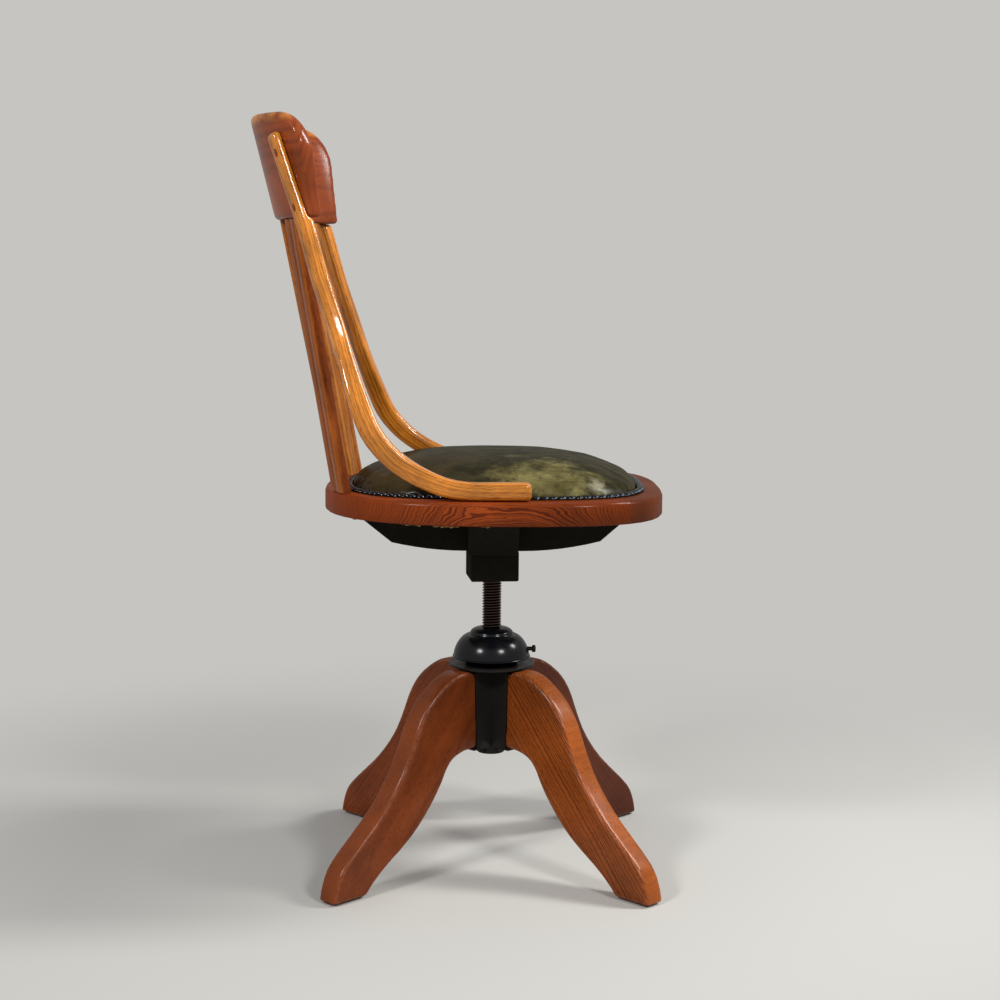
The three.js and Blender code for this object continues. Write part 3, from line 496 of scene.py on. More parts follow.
# Besides the grain, these colours paint light and shade: the front_right leg is paler, and the
# rear_right and front_left legs are darker.
leg_cuts_and_shade = {
    "rear_left": ("#8a411a", "#56230c", (0.05, -0.04), 0.7),
    "rear_right": ("#7e3c19", "#54240e", (0.0, 0.6), 0.4),
    "front_right": ("#a1531f", "#642b10", (0.5, 0.0), 1.0),
    "front_left": ("#5e2c16", "#3e190a", (-0.05, 0.02), 0.7),
}
leg_oak = {
    place: varnished_oak(
        f"leg_oak_{place}", pale, deep, "#34130a", ring=3.0 * mm, heart=heart,
        pore_size=(0.006, 0.75 * mm), wander=0.004, ring_share=ring_share,
        # This darkens each leg towards the hub, as painted shade.
        pore_share=0.95, rough=0.42, coat=0.4, coat_rough=0.24, painted_start_shade=0.25,
        faced=(0.0115, 0.0145),
        # The pale arris band is partly wear and partly a painted sheen where the rounded edge
        # catches the light.
        edge_wear_and_highlight={"axis": 2, "both": True, "from": 0.0125, "to": 0.0145, "end": 0.01525,
             "patch": 0.01, "share": 0.15, "colour": "#b98a70"},
    ) for place, (pale, deep, heart, ring_share) in leg_cuts_and_shade.items()
}
print(2 + len(slat_oak) + len(rail_oak_and_shade) + len(leg_oak), "cuts of oak")

# %% [markdown]
# ## Worn edges
# Hands, sleeves and shoes have worn the edges of the legs, the arms and the crest rail round.
# A bevel would round each edge by the same amount. So those pieces are cut into small even
# cells, whose corners are then smoothed a few times, which rounds sharp corners the most.


# %% Worn edges
def settle(piece):
    """Applies the modifiers of a piece to its mesh."""
    graph = bpy.context.evaluated_depsgraph_get()
    settled = bpy.data.meshes.new_from_object(piece.evaluated_get(graph))
    piece.modifiers.clear()
    old = piece.data
    piece.data = settled
    bpy.data.meshes.remove(old)


def recut(piece, cell):
    """Turns the mesh of a piece into even cells of one size."""
    even = piece.modifiers.new("even", "REMESH")
    even.mode = "VOXEL"
    even.voxel_size = cell
    settle(piece)


def worn_round(shape, cell, rubs):
    """The shape in small even cells, smoothed a few times, as hands wear every edge round."""
    piece = new_object("worn", as_mesh("worn", shape))
    recut(piece, cell)
    worn = bmesh.new()
    worn.from_mesh(piece.data)
    bpy.data.objects.remove(piece)
    for _ in range(rubs):
        bmesh.ops.smooth_vert(
            worn, verts=worn.verts, factor=0.5, use_axis_x=True, use_axis_y=True,
            use_axis_z=True,
        )
    return worn


print("edges can be worn round")

# %% [markdown]
# ## Legs
# Each leg is sawn from a straight plank to an S curve, and its grain runs straight from hub
# to foot, so the curve crosses it. A merged copy of the imported leg keeps the real outline,
# its edges are worn round, and the grain is laid on a straight line turned with the leg. The
# planks were cut at different distances from the heart, so each leg has its own grain. The
# legs' colours also paint light and shade: the near front leg is paler, the near rear and far
# front legs are darker, and every leg darkens towards the hub.

# %% Legs
leg_places = {"rear_left": 45, "rear_right": 135, "front_right": 225, "front_left": 315}
leg_grain_top = Vector((0.07, 0, 0.25))
leg_grain_foot = Vector((0.27, 0, 0.02))
for place, turn in leg_places.items():
    around = Matrix.Translation(swivel) @ Matrix.Rotation(math.radians(turn), 4, "Z")
    plank = [around @ leg_grain_top, around @ leg_grain_foot]
    side = around.to_3x3() @ Vector((1, 0, 1))
    leg = worn_round(copied(f"leg_{place}"), cell=1.5 * mm, rubs=12)
    lay_grain(leg, plank, side)
    finish_piece(f"oak_leg_{place}", leg, leg_oak[place], "base", [f"leg_{place}"],
                 limit=70)

# %% [markdown]
# ## Seat rails
# Four sawn rails butt together into a ring. Their faces were sawn round from straight
# planks, so the saw crosses many rings near the ends of a rail and few in its middle. The
# grain runs straight through each rail, and its third direction always points inwards.

# %% Seat rails
rail_runs = {
    "right": Vector((0, 1, 0)), "left": Vector((0, -1, 0)),
    "front": Vector((-1, 0, 0)), "rear": Vector((1, 0, 0)),
}
grain_reach = 0.1
for number, (place, run) in enumerate(rail_runs.items()):
    rail = copied(f"seat_rail_{place}")
    low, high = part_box(f"seat_rail_{place}")
    middle = (low + high) / 2
    # Each rail reads another part of the pattern, as if it came from another plank
    lay_grain(rail, [middle - run * grain_reach, middle + run * grain_reach], Vector((0, 0, 1)),
              Vector((0.37 * number, 0, 0.004 * number)))
    finish_piece(f"oak_rail_{place}", rail, rail_oak_and_shade[place], "seat",
                 [f"seat_rail_{place}"], limit=50)

# %% [markdown]
# ## Back slats
# Straight slats lean back from the rear rail to the crest rail. Their grain follows the
# lean, from the middle of the lower end to the middle of the upper one.

# %% Back slats
end_band = 0.03
for number, place in enumerate(("right", "centre", "left")):
    slat = copied(f"back_slat_{place}")
    low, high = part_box(f"back_slat_{place}")
    foot = [v.co for v in slat.verts if v.co.z < low.z + end_band]
    head = [v.co for v in slat.verts if v.co.z > high.z - end_band]
    line = [sum(foot, Vector()) / len(foot), sum(head, Vector()) / len(head)]
    lay_grain(slat, line, Vector((1, 0, 0)), Vector((0.5 * number, 0.004 * number, 0)))
    finish_piece(f"oak_slat_{place}", slat, slat_oak[place], "seat",
                 [f"back_slat_{place}"], limit=50)

# %% [markdown]
# ## Crest rail
# The crest rail is a wide board on a round arc that leans back. Its grain follows the arc,
# so a point's place along the grain is its angle round the arc's middle times the radius.

# %% Crest rail
crest_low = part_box("crest_rail")[0]
crest_radius = 0.2095
crest_centre_forward = 0.220
crest_lean = math.tan(math.radians(14))
crest_rear = swivel.y + 0.279
crest = worn_round(copied("crest_rail"), cell=2 * mm, rubs=16)
layer = crest.verts.layers.float_vector.new("grain")
for vert in crest.verts:
    rise = vert.co.z - crest_low.z
    centre = Vector((swivel.x, crest_rear - crest_centre_forward + crest_lean * rise))
    spoke = vert.co.xy - centre
    angle = math.atan2(spoke.x, spoke.y)
    vert[layer] = Vector((crest_radius * angle, rise, spoke.length - crest_radius))
finish_piece("oak_crest_rail", crest, crest_wood, "seat", ["crest_rail"], limit=89)

# %% [markdown]
# ## Bent arms
# Each arm was steamed and bent to a route: down the rear of the crest rail, out and down,
# then forward along the side rail. The same route, as a few points, leads its grain, and
# short curves between the points let the grain turn evenly.


# %% Bent arms
def smooth_route(points, steps):
    """A route through a few points, with short straight steps between them."""
    route = []
    for i in range(len(points) - 1):
        here, there = points[i], points[i + 1]
        before = points[max(i - 1, 0)]
        after = points[min(i + 2, len(points) - 1)]
        out = here + (there - before) / 6
        back = there - (after - here) / 6
        route += geometry.interpolate_bezier(here, out, back, there, steps + 1)[:-1]
    return route + [points[-1]]


arm_route = [
    (0.1273, 0.2665, 0.935), (0.1332, 0.250, 0.885), (0.139, 0.232, 0.834), (0.1411, 0.210, 0.758),
    (0.1458, 0.1916, 0.700), (0.160, 0.178, 0.654), (0.178, 0.163, 0.612), (0.187, 0.147, 0.576),
    (0.191, 0.126, 0.550), (0.1915, 0.105, 0.535), (0.1915, 0.081, 0.523), (0.1915, 0.031, 0.510),
    (0.1915, -0.045, 0.510),
]
for hand, side in (("left", 1), ("right", -1)):
    points = [swivel + Vector((side * x, y, z)) for x, y, z in arm_route]
    arm = worn_round(copied(f"arm_{hand}"), cell=1.5 * mm, rubs=14)
    lay_grain(arm, smooth_route(points, 3), Vector((side, 0, 0)), Vector((side * 0.4, 0, 0)))
    finish_piece(f"oak_arm_{hand}", arm, arm_oak, "seat", [f"arm_{hand}"], limit=89)

# %% [markdown]
# ## Plugs in the arms
# Each arm is screwed to the rear of the crest rail, and a turned plug of darker wood closes
# each screw's hole. A plug is a low dome pressed into the arm. A ray cast forward from behind
# finds the arm's surface, so the plug sits on it wherever the arm is bent.

# %% Plugs in the arms
plug_radius = 5.5 * mm
plug_rise = 1.2 * mm
plug_search = 0.06
plug_places = ((0.1378, 0.2355, 0.845), (0.1303, 0.2575, 0.910))
plugs = bmesh.new()
for side, hand in ((1, "left"), (-1, "right")):
    outwards = Vector((side * 0.6, 0.8, 0))
    arm = copied(f"arm_{hand}")
    arm_surface = BVHTree.FromBMesh(arm)
    arm.free()
    for x, y, z in plug_places:
        behind = swivel + Vector((side * x, y, z)) + outwards * plug_search
        surface, normal, _, _ = arm_surface.ray_cast(behind, -outwards)
        facing = normal.to_track_quat("Z", "Y").to_matrix().to_4x4()
        flatter = Matrix.Diagonal((1, 1, plug_rise / plug_radius, 1))
        bmesh.ops.create_uvsphere(
            plugs, u_segments=16, v_segments=8, radius=plug_radius,
            matrix=Matrix.Translation(surface) @ facing @ flatter,
        )
grain_layer = plugs.verts.layers.float_vector.new("grain")
for vert in plugs.verts:
    vert[grain_layer] = Vector((vert.co.z, vert.co.x, vert.co.y))
finish_piece("arm_plugs", plugs, crest_wood, "seat", limit=60)

# %% [markdown]
# ## Japanned iron and painted wood
# The hub and its nut are cast iron under baked black japan. It is nearly black and glossy,
# and rubbed smooth by a century of cleaning, so it shows small bright images of the lamps.
# The block and the wooden bearers are painted black, with a duller coat that shows the brush.


# %% Japanned iron and painted wood
def mottled(material, size, dark, pale, detail, roughness=0.5):
    """A noise with lumps of about size, in metres, and two colours mixed by it."""
    lumps = add_node(material, "TexNoise", {
        "Vector": add_node(material, "TexCoord").outputs["Object"], "Scale": 1 / size,
        "Detail": detail, "Roughness": roughness,
    })
    tone = add_node(material, "Mix", {0: lumps, 6: dark, 7: pale}, data_type="RGBA")
    return lumps, tone


def japanned(name, gloss, dark, pale):
    """Baked black japan, as glossy as its coat is strong."""
    material, shader = new_finish(
        name, Specular_IOR_Level=0.0, Coat_Weight=gloss, Coat_Roughness=0.2,
    )
    peel = add_node(material, "TexNoise", {
        "Vector": add_node(material, "TexCoord").outputs["Object"], "Scale": 1 / 0.006,
    })
    smudge, tone = mottled(material, 0.02, dark, pale, detail=4.0, roughness=0.6)
    dull = add_node(material, "MapRange", [smudge, 0.3, 0.7, 0.35, 0.5])
    relief = add_node(material, "Bump", {"Height": peel, "Strength": 0.06, "Distance": 0.2 * mm})
    wire(material, shader, Base_Color=tone, Roughness=dull, Normal=relief)
    return material


glossy_japan = japanned("glossy_japan", 0.5, "#06070a", "#0f1116")
dull_japan = japanned("dull_japan", 0.3, "#1a1816", "#252221")
black_paint, black_shader = new_finish(
    "black_painted_wood", Specular_IOR_Level=0.0, Roughness=0.5, Coat_Weight=0.05,
    Coat_Roughness=0.4,
)
strokes, paint_tone = mottled(black_paint, 0.012, "#141310", "#24221d", 5.0, roughness=0.65)
paint_relief = add_node(black_paint, "Bump", {
    "Height": strokes, "Strength": 0.2, "Distance": 0.4 * mm,
})
wire(black_paint, black_shader, Base_Color=paint_tone, Normal=paint_relief)
print("japan and black paint")

# %% [markdown]
# ## Steel
# The spindle and the screws are steel under old oil. Grime fills the spindle's hollows, and
# its ridges are rubbed and rusted red-brown, so its colour follows the distance from the
# swivel axis. The glides under the feet are plain worn steel.


# %% Steel
def worn_steel(name, dark, bright, roughness, spot, hollow=None):
    """Steel with patches of the given size, and grime out to a given radius."""
    material, shader = new_finish(name, Metallic=1.0)
    add = partial(add_node, material)
    patches, colour = mottled(material, spot, dark, bright, detail=4.0, roughness=0.6)
    if hollow:
        from_axis = add("VectorMath", [
            add("TexCoord").outputs["Object"], swivel,
        ], operation="SUBTRACT")
        spoke = add("VectorMath", [from_axis, (1, 1, 0)], operation="MULTIPLY")
        radius = add("VectorMath", [spoke], operation="LENGTH")
        paler_share = add("MapRange", [radius, hollow[0], hollow[1]], **eased)
        colour = add("Mix", {0: paler_share, 6: "#0c0807", 7: colour}, data_type="RGBA")
    rough = add("MapRange", [patches, 0.3, 0.7, roughness - 0.08, roughness + 0.1])
    wire(material, shader, Base_Color=colour, Roughness=rough)
    return material


thread_crest = (spindle_high.x - spindle_low.x) / 2
thread_root = thread_crest - 1.7 * mm
oiled_steel = worn_steel(
    "oiled_steel", "#3a2b27", "#57453f", roughness=0.34, spot=0.004,
    hollow=(thread_root + 0.3 * mm, thread_crest - 0.4 * mm),
)
screw_steel = worn_steel("screw_steel", "#2a1f1a", "#5a4a42", roughness=0.4, spot=0.003)
glide_steel = worn_steel("glide_steel", "#6a6862", "#a8a6a0", roughness=0.35, spot=0.003)
print("three steels")

# %% [markdown]
# ## Hub and bearers
# The hub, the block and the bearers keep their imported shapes. The hub's edges are eased by
# half a millimetre, which gives each edge the thin light line that cast edges have.


# %% Hub and bearers
def ease(shape, width, limit):
    """Rounds the edges that turn by more than limit degrees."""
    sharp = [e for e in shape.edges if e.is_manifold and e.calc_face_angle(0) > math.radians(limit)]
    bmesh.ops.bevel(
        shape, geom=sharp, offset=width, offset_type="OFFSET", segments=2, profile=0.5,
        affect="EDGES", clamp_overlap=True, material=-1,
    )
    return shape


hub = ease(copied("hub_casting"), 0.5 * mm, limit=60)
finish_piece("iron_hub", hub, dull_japan, "base", ["hub_casting"], limit=35)
block = copied("spindle_block")
finish_piece("iron_block", block, black_paint, "seat", ["spindle_block"], limit=50)
for way in ("side_to_side", "front_to_back"):
    bearer = copied(f"bearer_{way}")
    finish_piece(f"painted_bearer_{way}", bearer, black_paint, "seat",
                 [f"bearer_{way}"], limit=30)

# %% [markdown]
# ## Height nut
# The nut is turned all round, so its section is drawn once, as points from its foot up over
# the rim, the dome and the shoulder, and spun about the swivel axis. Both curves are quarters
# of an oval.


# %% Height nut
spin_steps = 96


def turned(points):
    """A closed shape spun from a closed section of (radius, height) points."""
    shape = bmesh.new()
    ring = [shape.verts.new(swivel + Vector((radius, 0, height))) for radius, height in points]
    edges = [shape.edges.new((a, b)) for a, b in zip(ring, ring[1:] + ring[:1])]
    bmesh.ops.spin(
        shape, geom=ring + edges, cent=swivel, axis=(0, 0, 1), angle=2 * math.pi,
        steps=spin_steps, use_merge=True,
    )
    bmesh.ops.remove_doubles(shape, verts=shape.verts, dist=0.005 * mm)
    bmesh.ops.recalc_face_normals(shape, faces=shape.faces)
    return shape


def quarter(inner, outer, foot, top, steps, squash=1.0, stretch=1.0):
    """Section points up a quarter of an oval, from its outer foot to its inner top."""
    angles = [i / steps * math.pi / 2 for i in range(steps + 1)]
    return [(
        inner + (outer - inner) * max(math.cos(angle), 0) ** squash,
        foot + (top - foot) * math.sin(angle) ** stretch,
    ) for angle in angles]


nut_low, nut_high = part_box("height_nut")
bore_radius = thread_crest + 0.3 * mm
rim_height = nut_low.z + 8.2 * mm
lip = 1.2 * mm
shoulder_height = nut_low.z + 37.7 * mm
shoulder_radius = 0.0292
shoulder_step = 0.9 * mm
dome_radius = (nut_high.x - nut_low.x) / 2 - lip
dome_foot = rim_height + 2.4 * mm
section = [
    (bore_radius, nut_low.z), (0.034, nut_low.z), (0.0355, rim_height - 2.5 * mm),
    (dome_radius - 1.5 * mm, rim_height - lip),
    (dome_radius + 0.4 * lip, rim_height - 0.8 * lip), (dome_radius + lip, rim_height),
    (dome_radius + lip, rim_height + 0.5 * lip),
    (dome_radius + 0.5 * lip, rim_height + 1.2 * lip),
    (dome_radius, rim_height + 1.5 * lip),
]
section += quarter(shoulder_radius, dome_radius, dome_foot, shoulder_height, 20, 1.1, 1.3)
section += quarter(bore_radius + 1 * mm, shoulder_radius - shoulder_step,
                   shoulder_height + shoulder_step, nut_high.z, 8)
section.append((bore_radius, nut_high.z - 1 * mm))
finish_piece("iron_nut", turned(section), glossy_japan, "nut", ["height_nut"],
             limit=35)

# %% [markdown]
# ## Threaded spindle
# The spindle has seven threads to the inch. One thread's section is a small tooth with a flat
# crest, spun up the axis with a rise of one pitch for each turn, so the turns join into one
# screw. The ends are then cut flat and closed, and a plain round end is added below.

# %% Threaded spindle
pitch = 25.4 / 7 * mm
thread_rub = 0.02 * mm
collar_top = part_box("spindle_stop_collar")[1].z
thread_low = collar_top + 0.5 * mm
turns = math.ceil((spindle_high.z - thread_low) / pitch) + 2
steps_per_turn = 32
screw = bmesh.new()
tooth = [
    (thread_root, 0.0), (thread_root, 0.12), (thread_crest - thread_rub, 0.36),
    (thread_crest - thread_rub, 0.64), (thread_root, 0.88), (thread_root, 1.0),
]
start = thread_low - 1.5 * pitch
corners = [
    screw.verts.new(swivel + Vector((radius, 0, start + share * pitch))) for radius, share in tooth
]
edges = [screw.edges.new((a, b)) for a, b in zip(corners, corners[1:])]
bmesh.ops.spin(
    screw, geom=corners + edges, cent=swivel, axis=(0, 0, 1), angle=2 * math.pi * turns,
    steps=steps_per_turn * turns, dvec=(0, 0, pitch / steps_per_turn), use_merge=False,
)
bmesh.ops.remove_doubles(screw, verts=screw.verts, dist=0.02 * mm)
for height, normal in ((thread_low, (0, 0, -1)), (spindle_high.z, (0, 0, 1))):
    cut = bmesh.ops.bisect_plane(
        screw, geom=screw.verts[:] + screw.edges[:] + screw.faces[:], dist=0.001 * mm,
        plane_co=(0, 0, height), plane_no=normal, clear_outer=True,
    )
    rim = [e for e in cut["geom_cut"] if isinstance(e, bmesh.types.BMEdge)]
    bmesh.ops.edgeloop_fill(screw, edges=rim)
bmesh.ops.create_cone(
    screw, cap_ends=True, segments=32, radius1=8 * mm, radius2=8 * mm,
    depth=thread_low - spindle_low.z,
    matrix=Matrix.Translation(swivel + Vector((0, 0, (thread_low + spindle_low.z) / 2))),
)
bmesh.ops.recalc_face_normals(screw, faces=screw.faces)
finish_piece("threaded_spindle", screw, oiled_steel, "seat", ["spindle"], limit=50)

# %% [markdown]
# ## Leather
# The seat is hide, stained dark olive over brown and polished. Sitters have rubbed the stain,
# so it has gone cloudy, in patches of a few centimetres. Brown shows through at the rear, and
# a corner at the front has faded to yellow. The grain of the hide is fine cells, little more
# than a millimetre across, and soft dark flecks lie in its creases.

# %% Leather
hide, hide_shader = new_finish(
    "olive_hide", Coat_Weight=0.16, Coat_Roughness=0.22, Specular_IOR_Level=0.0,
)
on_hide = partial(add_node, hide)
skin = on_hide("TexCoord").outputs["Object"]


def near_place(place, reach, soft):
    """One within reach of a place on the hide, fading out to zero with ragged edges."""
    ragged = on_hide("TexNoise", {
        "Vector": skin, "Scale": 1 / 0.03, "Detail": 4.0, "Roughness": 0.65,
    })
    push = on_hide("MapRange", [ragged, 0.3, 0.7, -soft, soft])
    away = on_hide("VectorMath", [skin, place], operation="DISTANCE")
    pushed = on_hide("Math", [away, push], operation="ADD")
    return on_hide("MapRange", [pushed, reach - soft, reach + soft, 1.0, 0.0], **eased)


streak_cells = on_hide("Mapping", {"Vector": skin, "Scale": (1 / 0.02, 1 / 0.035, 1 / 0.03)})
clouds = on_hide("TexNoise", {
    "Vector": streak_cells, "Scale": 1.0, "Detail": 5.0, "Roughness": 0.62, "Distortion": 0.4,
})
cloud_share = on_hide("MapRange", [clouds, 0.38, 0.66], **eased)
flecks = on_hide("TexNoise", {
    "Vector": skin, "Scale": 1 / 0.008, "Detail": 4.0, "Roughness": 0.7, "Distortion": 0.8,
})
fleck_share = on_hide("MapRange", [flecks, 0.52, 0.7, 0.0, 0.7], **eased)
stained = on_hide("Mix", {0: cloud_share, 6: "#211e0f", 7: "#37321e"}, data_type="RGBA")
worn_pale = on_hide("Mix", {0: cloud_share, 6: "#524b2b", 7: "#756d43"}, data_type="RGBA")
# Over the stain lie the faded corner, the brown rear, the dark flecks and a painted highlight, a
# pale patch where the front edge catches the light
hide_colour = stained
for share, over in (
    (near_place((-0.155, -0.115, 0.530), reach=0.06, soft=0.035), worn_pale),
    (near_place((-0.10, 0.10, 0.55), reach=0.10, soft=0.06), "#3b301b"),
    (fleck_share, "#211a0d"),
    # painted highlight: a pale patch where the front edge of the hide catches the light
    (near_place((-0.148, -0.177, 0.518), reach=0.014, soft=0.010), "#8d8870"),
):
    hide_colour = on_hide("Mix", {0: share, 6: hide_colour, 7: over}, data_type="RGBA")
cells = on_hide("TexVoronoi", {"Vector": skin, "Scale": 1 / 0.0013}, feature="DISTANCE_TO_EDGE")
hide_rough = on_hide("MapRange", [clouds, 0.3, 0.7, 0.3, 0.46])
fine_relief = on_hide("Bump", {"Height": cells, "Strength": 0.16, "Distance": 0.3 * mm})
creases = on_hide("Bump", {
    "Height": flecks, "Strength": 0.35, "Distance": 0.8 * mm, "Normal": fine_relief,
})
wire(hide, hide_shader, Base_Color=hide_colour, Roughness=hide_rough, Normal=creases)
print("hide is stained")

# %% [markdown]
# ## Where the nails run
# The edge of the leather is flat and follows the seat. Its outline is read from a packed
# node, as the hull of its points near one height, and walked at equal steps. Moving each
# step inwards gives the line of the nails and the inner edge of the border.


# %% Where the nails run
def edge_path(inset, count, sources=("seat_leather",), level=None):
    """Points at equal steps round the edge of some nodes, moved inwards by inset."""
    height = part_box(sources[0])[0].z if level is None else level
    rim = [
        v.co.xy for name in sources for v in nodes[name].data.vertices
        if abs(v.co.z - height) < 0.1 * mm
    ]
    loop = [rim[i] for i in geometry.convex_hull_2d(rim)]
    spans = [(b - a).length for a, b in zip(loop, loop[1:] + loop[:1])]
    path = []
    for step in range(count):
        reach = step / count * sum(spans)
        i = 0
        while reach > spans[i]:
            reach -= spans[i]
            i += 1
        here, there = loop[i], loop[(i + 1) % len(loop)]
        point = here.lerp(there, reach / spans[i])
        run = (there - here).normalized()
        path.append((point, Vector((-run.y, run.x))))
    smooth = []
    for k, (point, inward) in enumerate(path):
        mean = inward + path[k - 1][1] + path[(k + 1) % count][1]
        smooth.append(point + mean.normalized() * inset)
    return smooth


leather_low, leather_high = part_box("seat_leather")
border_top = leather_low.z + 1.6 * mm
walk = edge_path(0, 200)
edge_length = sum((b - a).length for a, b in zip(walk, walk[1:] + walk[:1]))
print("the edge of the leather is", round(edge_length, 3), "m long")

# %% [markdown]
# ## The cushion
# The seat is hide over a crowned pad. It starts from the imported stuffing, stretched to just
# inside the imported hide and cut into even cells, and cloth under pressure swells it like
# stuffing does. The points near the frame are held, as nails hold them, and no point may
# move further than a cap.

# %% The cushion
cell_size = 5 * mm
pressure = 4.0
swell_frames = 20
most_swell = 5 * mm
nailed_height = 3 * mm
pad_core = bmesh.new()
pad_core.from_mesh(nodes["seat_stuffing"].data)
bmesh.ops.remove_doubles(pad_core, verts=pad_core.verts, dist=weld)
core_low, core_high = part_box("seat_stuffing")
grow = Matrix.Diagonal((
    (leather_high.x - leather_low.x - 15 * mm) / (core_high.x - core_low.x),
    (leather_high.y - leather_low.y - 15 * mm) / (core_high.y - core_low.y),
    (leather_high.z - leather_low.z - 2 * mm) / (core_high.z - core_low.z), 1,
))
foot = middle_of(core_low, core_high, core_low.z)
bmesh.ops.transform(
    pad_core, verts=pad_core.verts,
    matrix=Matrix.Translation(foot) @ grow @ Matrix.Translation(-foot),
)
cushion = new_object("leather_cushion", as_mesh("pad_core", pad_core))
recut(cushion, cell_size)
nailed = cushion.vertex_groups.new(name="nailed")
for vert in cushion.data.vertices:
    if vert.co.z < border_top + nailed_height:
        nailed.add([vert.index], 1.0, "REPLACE")
before = [v.co.copy() for v in cushion.data.vertices]
swell = cushion.modifiers.new("swell", "CLOTH")
swell.settings.use_pressure = True
swell.settings.uniform_pressure_force = pressure
swell.settings.effector_weights.gravity = 0
swell.settings.vertex_group_mass = "nailed"
swell.settings.tension_stiffness = 20
swell.settings.bending_stiffness = 2
swell.point_cache.frame_start = 1
swell.point_cache.frame_end = swell_frames
for number in range(1, swell_frames + 1):
    bpy.context.scene.frame_set(number)
settle(cushion)
bpy.context.scene.frame_set(1)
for vert, start in zip(cushion.data.vertices, before):
    move = vert.co - start
    if move.length > most_swell:
        vert.co = start + move.normalized() * most_swell
print("the pad has", len(cushion.data.vertices), "points")

# %% [markdown]
# ## Puckers and bulges
# Hide puckers a little towards each nail, bulges above them, and lies uneven over the pad.
# Waves round the edge and a soft noise move the points by a millimetre or less, and a round
# bulge moves the sides outwards by a few.

# %% Puckers and bulges
pucker_size = 0.5 * mm
pucker_count = 37
pucker_height, pucker_depth = 0.25, 0.22
bulge_size = 4 * mm
bulge_height = 0.4
lump_size = 0.9 * mm
wander_scale, lump_scale = 9, 22
crown = 0.8
pad_middle = middle_of(leather_low, leather_high)
for vert in cushion.data.vertices:
    rise = max(vert.co.z - border_top, 0) / (leather_high.z - border_top)
    spoke = vert.co - pad_middle
    near_edge = math.exp(-((rise - pucker_height) / pucker_depth) ** 2)
    around = math.atan2(spoke.y, spoke.x) * pucker_count
    pucker = math.sin(around + 3 * noise.noise(vert.co * wander_scale))
    lump = noise.noise(vert.co * lump_scale)
    fuller = (min(rise, 1) ** crown - min(rise, 1)) * (leather_high.z - border_top)
    bulge = bulge_size * math.sin(math.pi * min(rise / bulge_height, 1))
    vert.co.xy += spoke.xy.normalized() * bulge
    vert.co.z += fuller + pucker_size * pucker * near_edge + lump_size * lump * min(rise * 2, 1)
cushion.data.materials.clear()
cushion.data.materials.append(hide)
for face in cushion.data.polygons:
    face.use_smooth = True
rounder = cushion.modifiers.new("rounder", "SUBSURF")
rounder.levels = rounder.render_levels = 1
settle(cushion)
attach(cushion, "seat")
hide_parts("seat_leather", "seat_stuffing")
print("the cushion reaches", round(max(v.co.z for v in cushion.data.vertices), 4), "m high")

# %% [markdown]
# ## The leather border
# Under the nails the hide lies flat on the rails, over its own turned-in edge, dark with
# polish that was never rubbed off. It is a ring with a low section, swept by lofting loops of
# points around the seat.

# %% The leather border
border_count = 160
border = bmesh.new()
border_section = [(0.2, 0.0), (0.2, 1.0), (0.7, 1.5), (10.5, 1.6), (12.0, 1.2), (12.0, 0.0)]
loops = []
for inset, rise in border_section:
    points = edge_path(inset * mm, border_count)
    loops.append([
        border.verts.new((p.x, p.y, leather_low.z + rise * mm)) for p in points
    ])
rings = [
    [border.edges.new((a, b)) for a, b in zip(loop, loop[1:] + loop[:1])] for loop in loops
]
for near, far in zip(rings, rings[1:] + rings[:1]):
    bmesh.ops.bridge_loops(border, edges=near + far)
bmesh.ops.recalc_face_normals(border, faces=border.faces)
dark_hide, dark_shader = new_finish("dark_hide", Roughness=0.5, Specular_IOR_Level=0.0)
wire(dark_hide, dark_shader, Base_Color=mottled(dark_hide, 0.006, "#0c0a07", "#221b12", 3.0)[1])
finish_piece("leather_border", border, dark_hide, "seat", limit=60)

# %% [markdown]
# ## Nails
# Domed steel nails stand shoulder to shoulder all round. One dome is the top of a sphere
# pressed flatter, and a copy stands at each step of the path, turned and tilted a hair,
# since nails driven by hand never line up. They are polished and blued, so each one shows
# the two lamps as two small points.

# %% Nails
nail_radius = 5.2 * mm
nail_spacing = 10.9 * mm
nail_rise = 3.2 * mm
nail_inset = 5.4 * mm
nail_tilt = math.radians(5)
nail_shift = 0.35 * mm
full_turn = 6.28
nail_count = round(edge_length / nail_spacing)

nail_steel, nail_shader = new_finish("blued_nail", Metallic=1.0, Roughness=0.13)
wire(nail_steel, nail_shader, Base_Color=mottled(nail_steel, 0.015, "#1c1e23", "#3e424b", 3.0)[1])

one_nail = bmesh.new()
bmesh.ops.create_uvsphere(one_nail, u_segments=12, v_segments=8, radius=nail_radius)
bmesh.ops.bisect_plane(
    one_nail, geom=one_nail.verts[:] + one_nail.edges[:] + one_nail.faces[:],
    dist=0.001 * mm, plane_co=(0, 0, 0), plane_no=(0, 0, -1), clear_outer=True,
)
bmesh.ops.holes_fill(one_nail, edges=[e for e in one_nail.edges if e.is_boundary])
bmesh.ops.scale(one_nail, vec=(1, 1, nail_rise / nail_radius), verts=one_nail.verts)
nail_mesh = as_mesh("one_nail", one_nail)

random.seed(7)
nails = bmesh.new()
for point in edge_path(nail_inset, nail_count):
    jitter = Vector((random.uniform(-1, 1), random.uniform(-1, 1), 0)) * nail_shift
    tilt = Matrix.Rotation(random.uniform(0, full_turn), 4, "Z") @ Matrix.Rotation(
        random.uniform(0, nail_tilt), 4, "X")
    seat = Vector((point.x, point.y, border_top - 0.2 * mm))
    placed = nail_mesh.copy()
    placed.transform(Matrix.Translation(seat + jitter) @ tilt)
    nails.from_mesh(placed)
    bpy.data.meshes.remove(placed)
finish_piece("seat_nails", nails, nail_steel, "seat", limit=60)
print(nail_count, "nails")

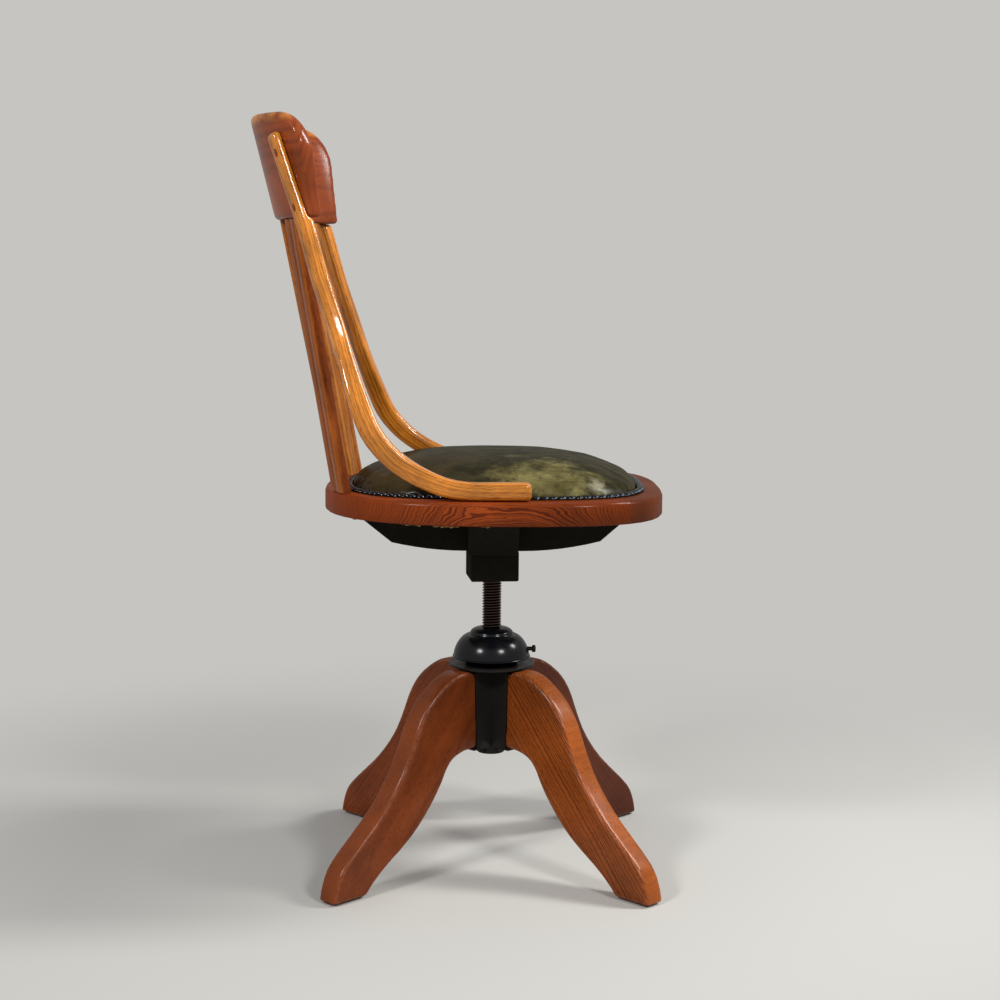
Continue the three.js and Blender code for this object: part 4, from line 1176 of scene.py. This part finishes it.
# %% [markdown]
# ## Webbing and lining
# Under the pad, straps of jute run over and under each other, and a piece of plain cloth
# closes the seat from below. Both are plain weave: two waves at right angles lift the
# threads, and the pitch of the threads is that of coarse jute.


# %% Webbing and lining
wave_repeat = 0.314  # how far apart the bands of a wave texture of scale 1 lie, in metres


def plain_weave(name, dark, pale, thread):
    """Jute in plain weave, with threads of the given width."""
    material, shader = new_finish(name, Roughness=0.95, Sheen_Weight=0.1)
    where = add_node(material, "TexCoord")
    heights = []
    for way in ("X", "Y"):
        heights.append(add_node(material, "TexWave", {
            "Vector": where.outputs["Object"], "Scale": wave_repeat / (2 * thread),
            "Distortion": 1.0, "Detail": 2.0, "Detail Scale": 4.0,
        }, wave_type="BANDS", bands_direction=way))
    woven = add_node(material, "Math", [
        heights[0].outputs["Fac"], heights[1].outputs["Fac"],
    ], operation="MAXIMUM")
    tone = add_node(material, "Mix", {0: woven, 6: dark, 7: pale}, data_type="RGBA")
    relief = add_node(material, "Bump", {"Height": woven, "Strength": 0.6, "Distance": 0.5 * mm})
    wire(material, shader, Base_Color=tone, Normal=relief)
    return material


jute = plain_weave("jute_webbing", "#6d5738", "#b39a70", 1.6 * mm)
hessian = plain_weave("hessian", "#806138", "#c0a06a", 1.1 * mm)
webbing = copied("webbing")
webbing_piece = finish_piece("jute_straps", webbing, jute, "seat", ["webbing"], limit=40)
lining = copied("bottom_lining")
lining_piece = finish_piece("hessian_lining", lining, hessian, "seat", ["bottom_lining"],
                            limit=40)

# %% [markdown]
# ## Torn strips
# At the near side some torn strips of the lining hang out below the rail. Each strip is a
# ragged ribbon under the rail's outer edge, drooping as it runs out. Its section is drawn at
# steps along the rail, and a noise makes it hang unevenly.

# %% Torn strips
strip_places = [(0.065, 0.041, 2.4), (0.028, -0.005, 2.2), (-0.030, -0.042, 1.6),
                (0.126, 0.121, 2.5)]
strip_thick = 0.5 * mm
strip_step = 1.8 * mm
rag_scale, sway_scale = 300, 200
rail_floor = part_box("seat_rail_right")[0].z
rail_names = [f"seat_rail_{place}" for place in rail_runs]
near_side = -0.1
rail_edge = [p for p in edge_path(3 * mm, 400, rail_names, rail_floor) if p.x < near_side]
strips = bmesh.new()
for back, front, droop in strip_places:
    stations = max(round((back - front) / strip_step), 3)
    columns = []
    for i in range(stations + 1):
        along = back + (front - back) * i / stations
        edge = min(rail_edge, key=lambda p: abs(p.y - along))
        hang = droop * (0.55 + 0.9 * noise.noise(Vector((along * rag_scale, droop, 0)))) * mm
        hang = max(hang, 0.6 * mm) * (0.4 if i in (0, stations) else 1)
        sway = 0.8 * noise.noise(Vector((along * sway_scale, 5, droop))) * mm
        top = Vector((edge.x + 5 * mm, along, rail_floor - 0.4 * mm))
        fold = Vector((edge.x, along, rail_floor - 0.5 * mm))
        foot = Vector((edge.x - 0.8 * mm + sway, along, rail_floor - 0.5 * mm - hang))
        columns.append([
            strips.verts.new(p) for p in (
                top, fold, foot, foot + Vector((strip_thick, 0, 0)),
                fold + Vector((strip_thick, 0, -strip_thick)), top - Vector((0, 0, strip_thick)),
            )
        ])
    for one, two in zip(columns, columns[1:]):
        for j in range(6):
            strips.faces.new((one[j], one[(j + 1) % 6], two[(j + 1) % 6], two[j]))
    strips.faces.new(columns[0])
    strips.faces.new(columns[-1][::-1])
bmesh.ops.recalc_face_normals(strips, faces=strips.faces)
finish_piece("torn_lining_strips", strips, hessian, "seat", limit=50)

# %% [markdown]
# ## The plain solids that stay
# Screws, glides, the collar and the set screw have the right shape already. They keep their
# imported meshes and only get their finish.

# %% The plain solids that stay
for name, node in nodes.items():
    finish = glide_steel if name.startswith("foot_glide") else screw_steel
    node.data.materials.clear()
    node.data.materials.append(finish)
nodes["set_screw"].data.materials[0] = glossy_japan
nodes["spindle_stop_collar"].data.materials[0] = oiled_steel
print("the set screw is japanned, and the collar is oiled like the spindle")

# %% The end
low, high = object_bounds()
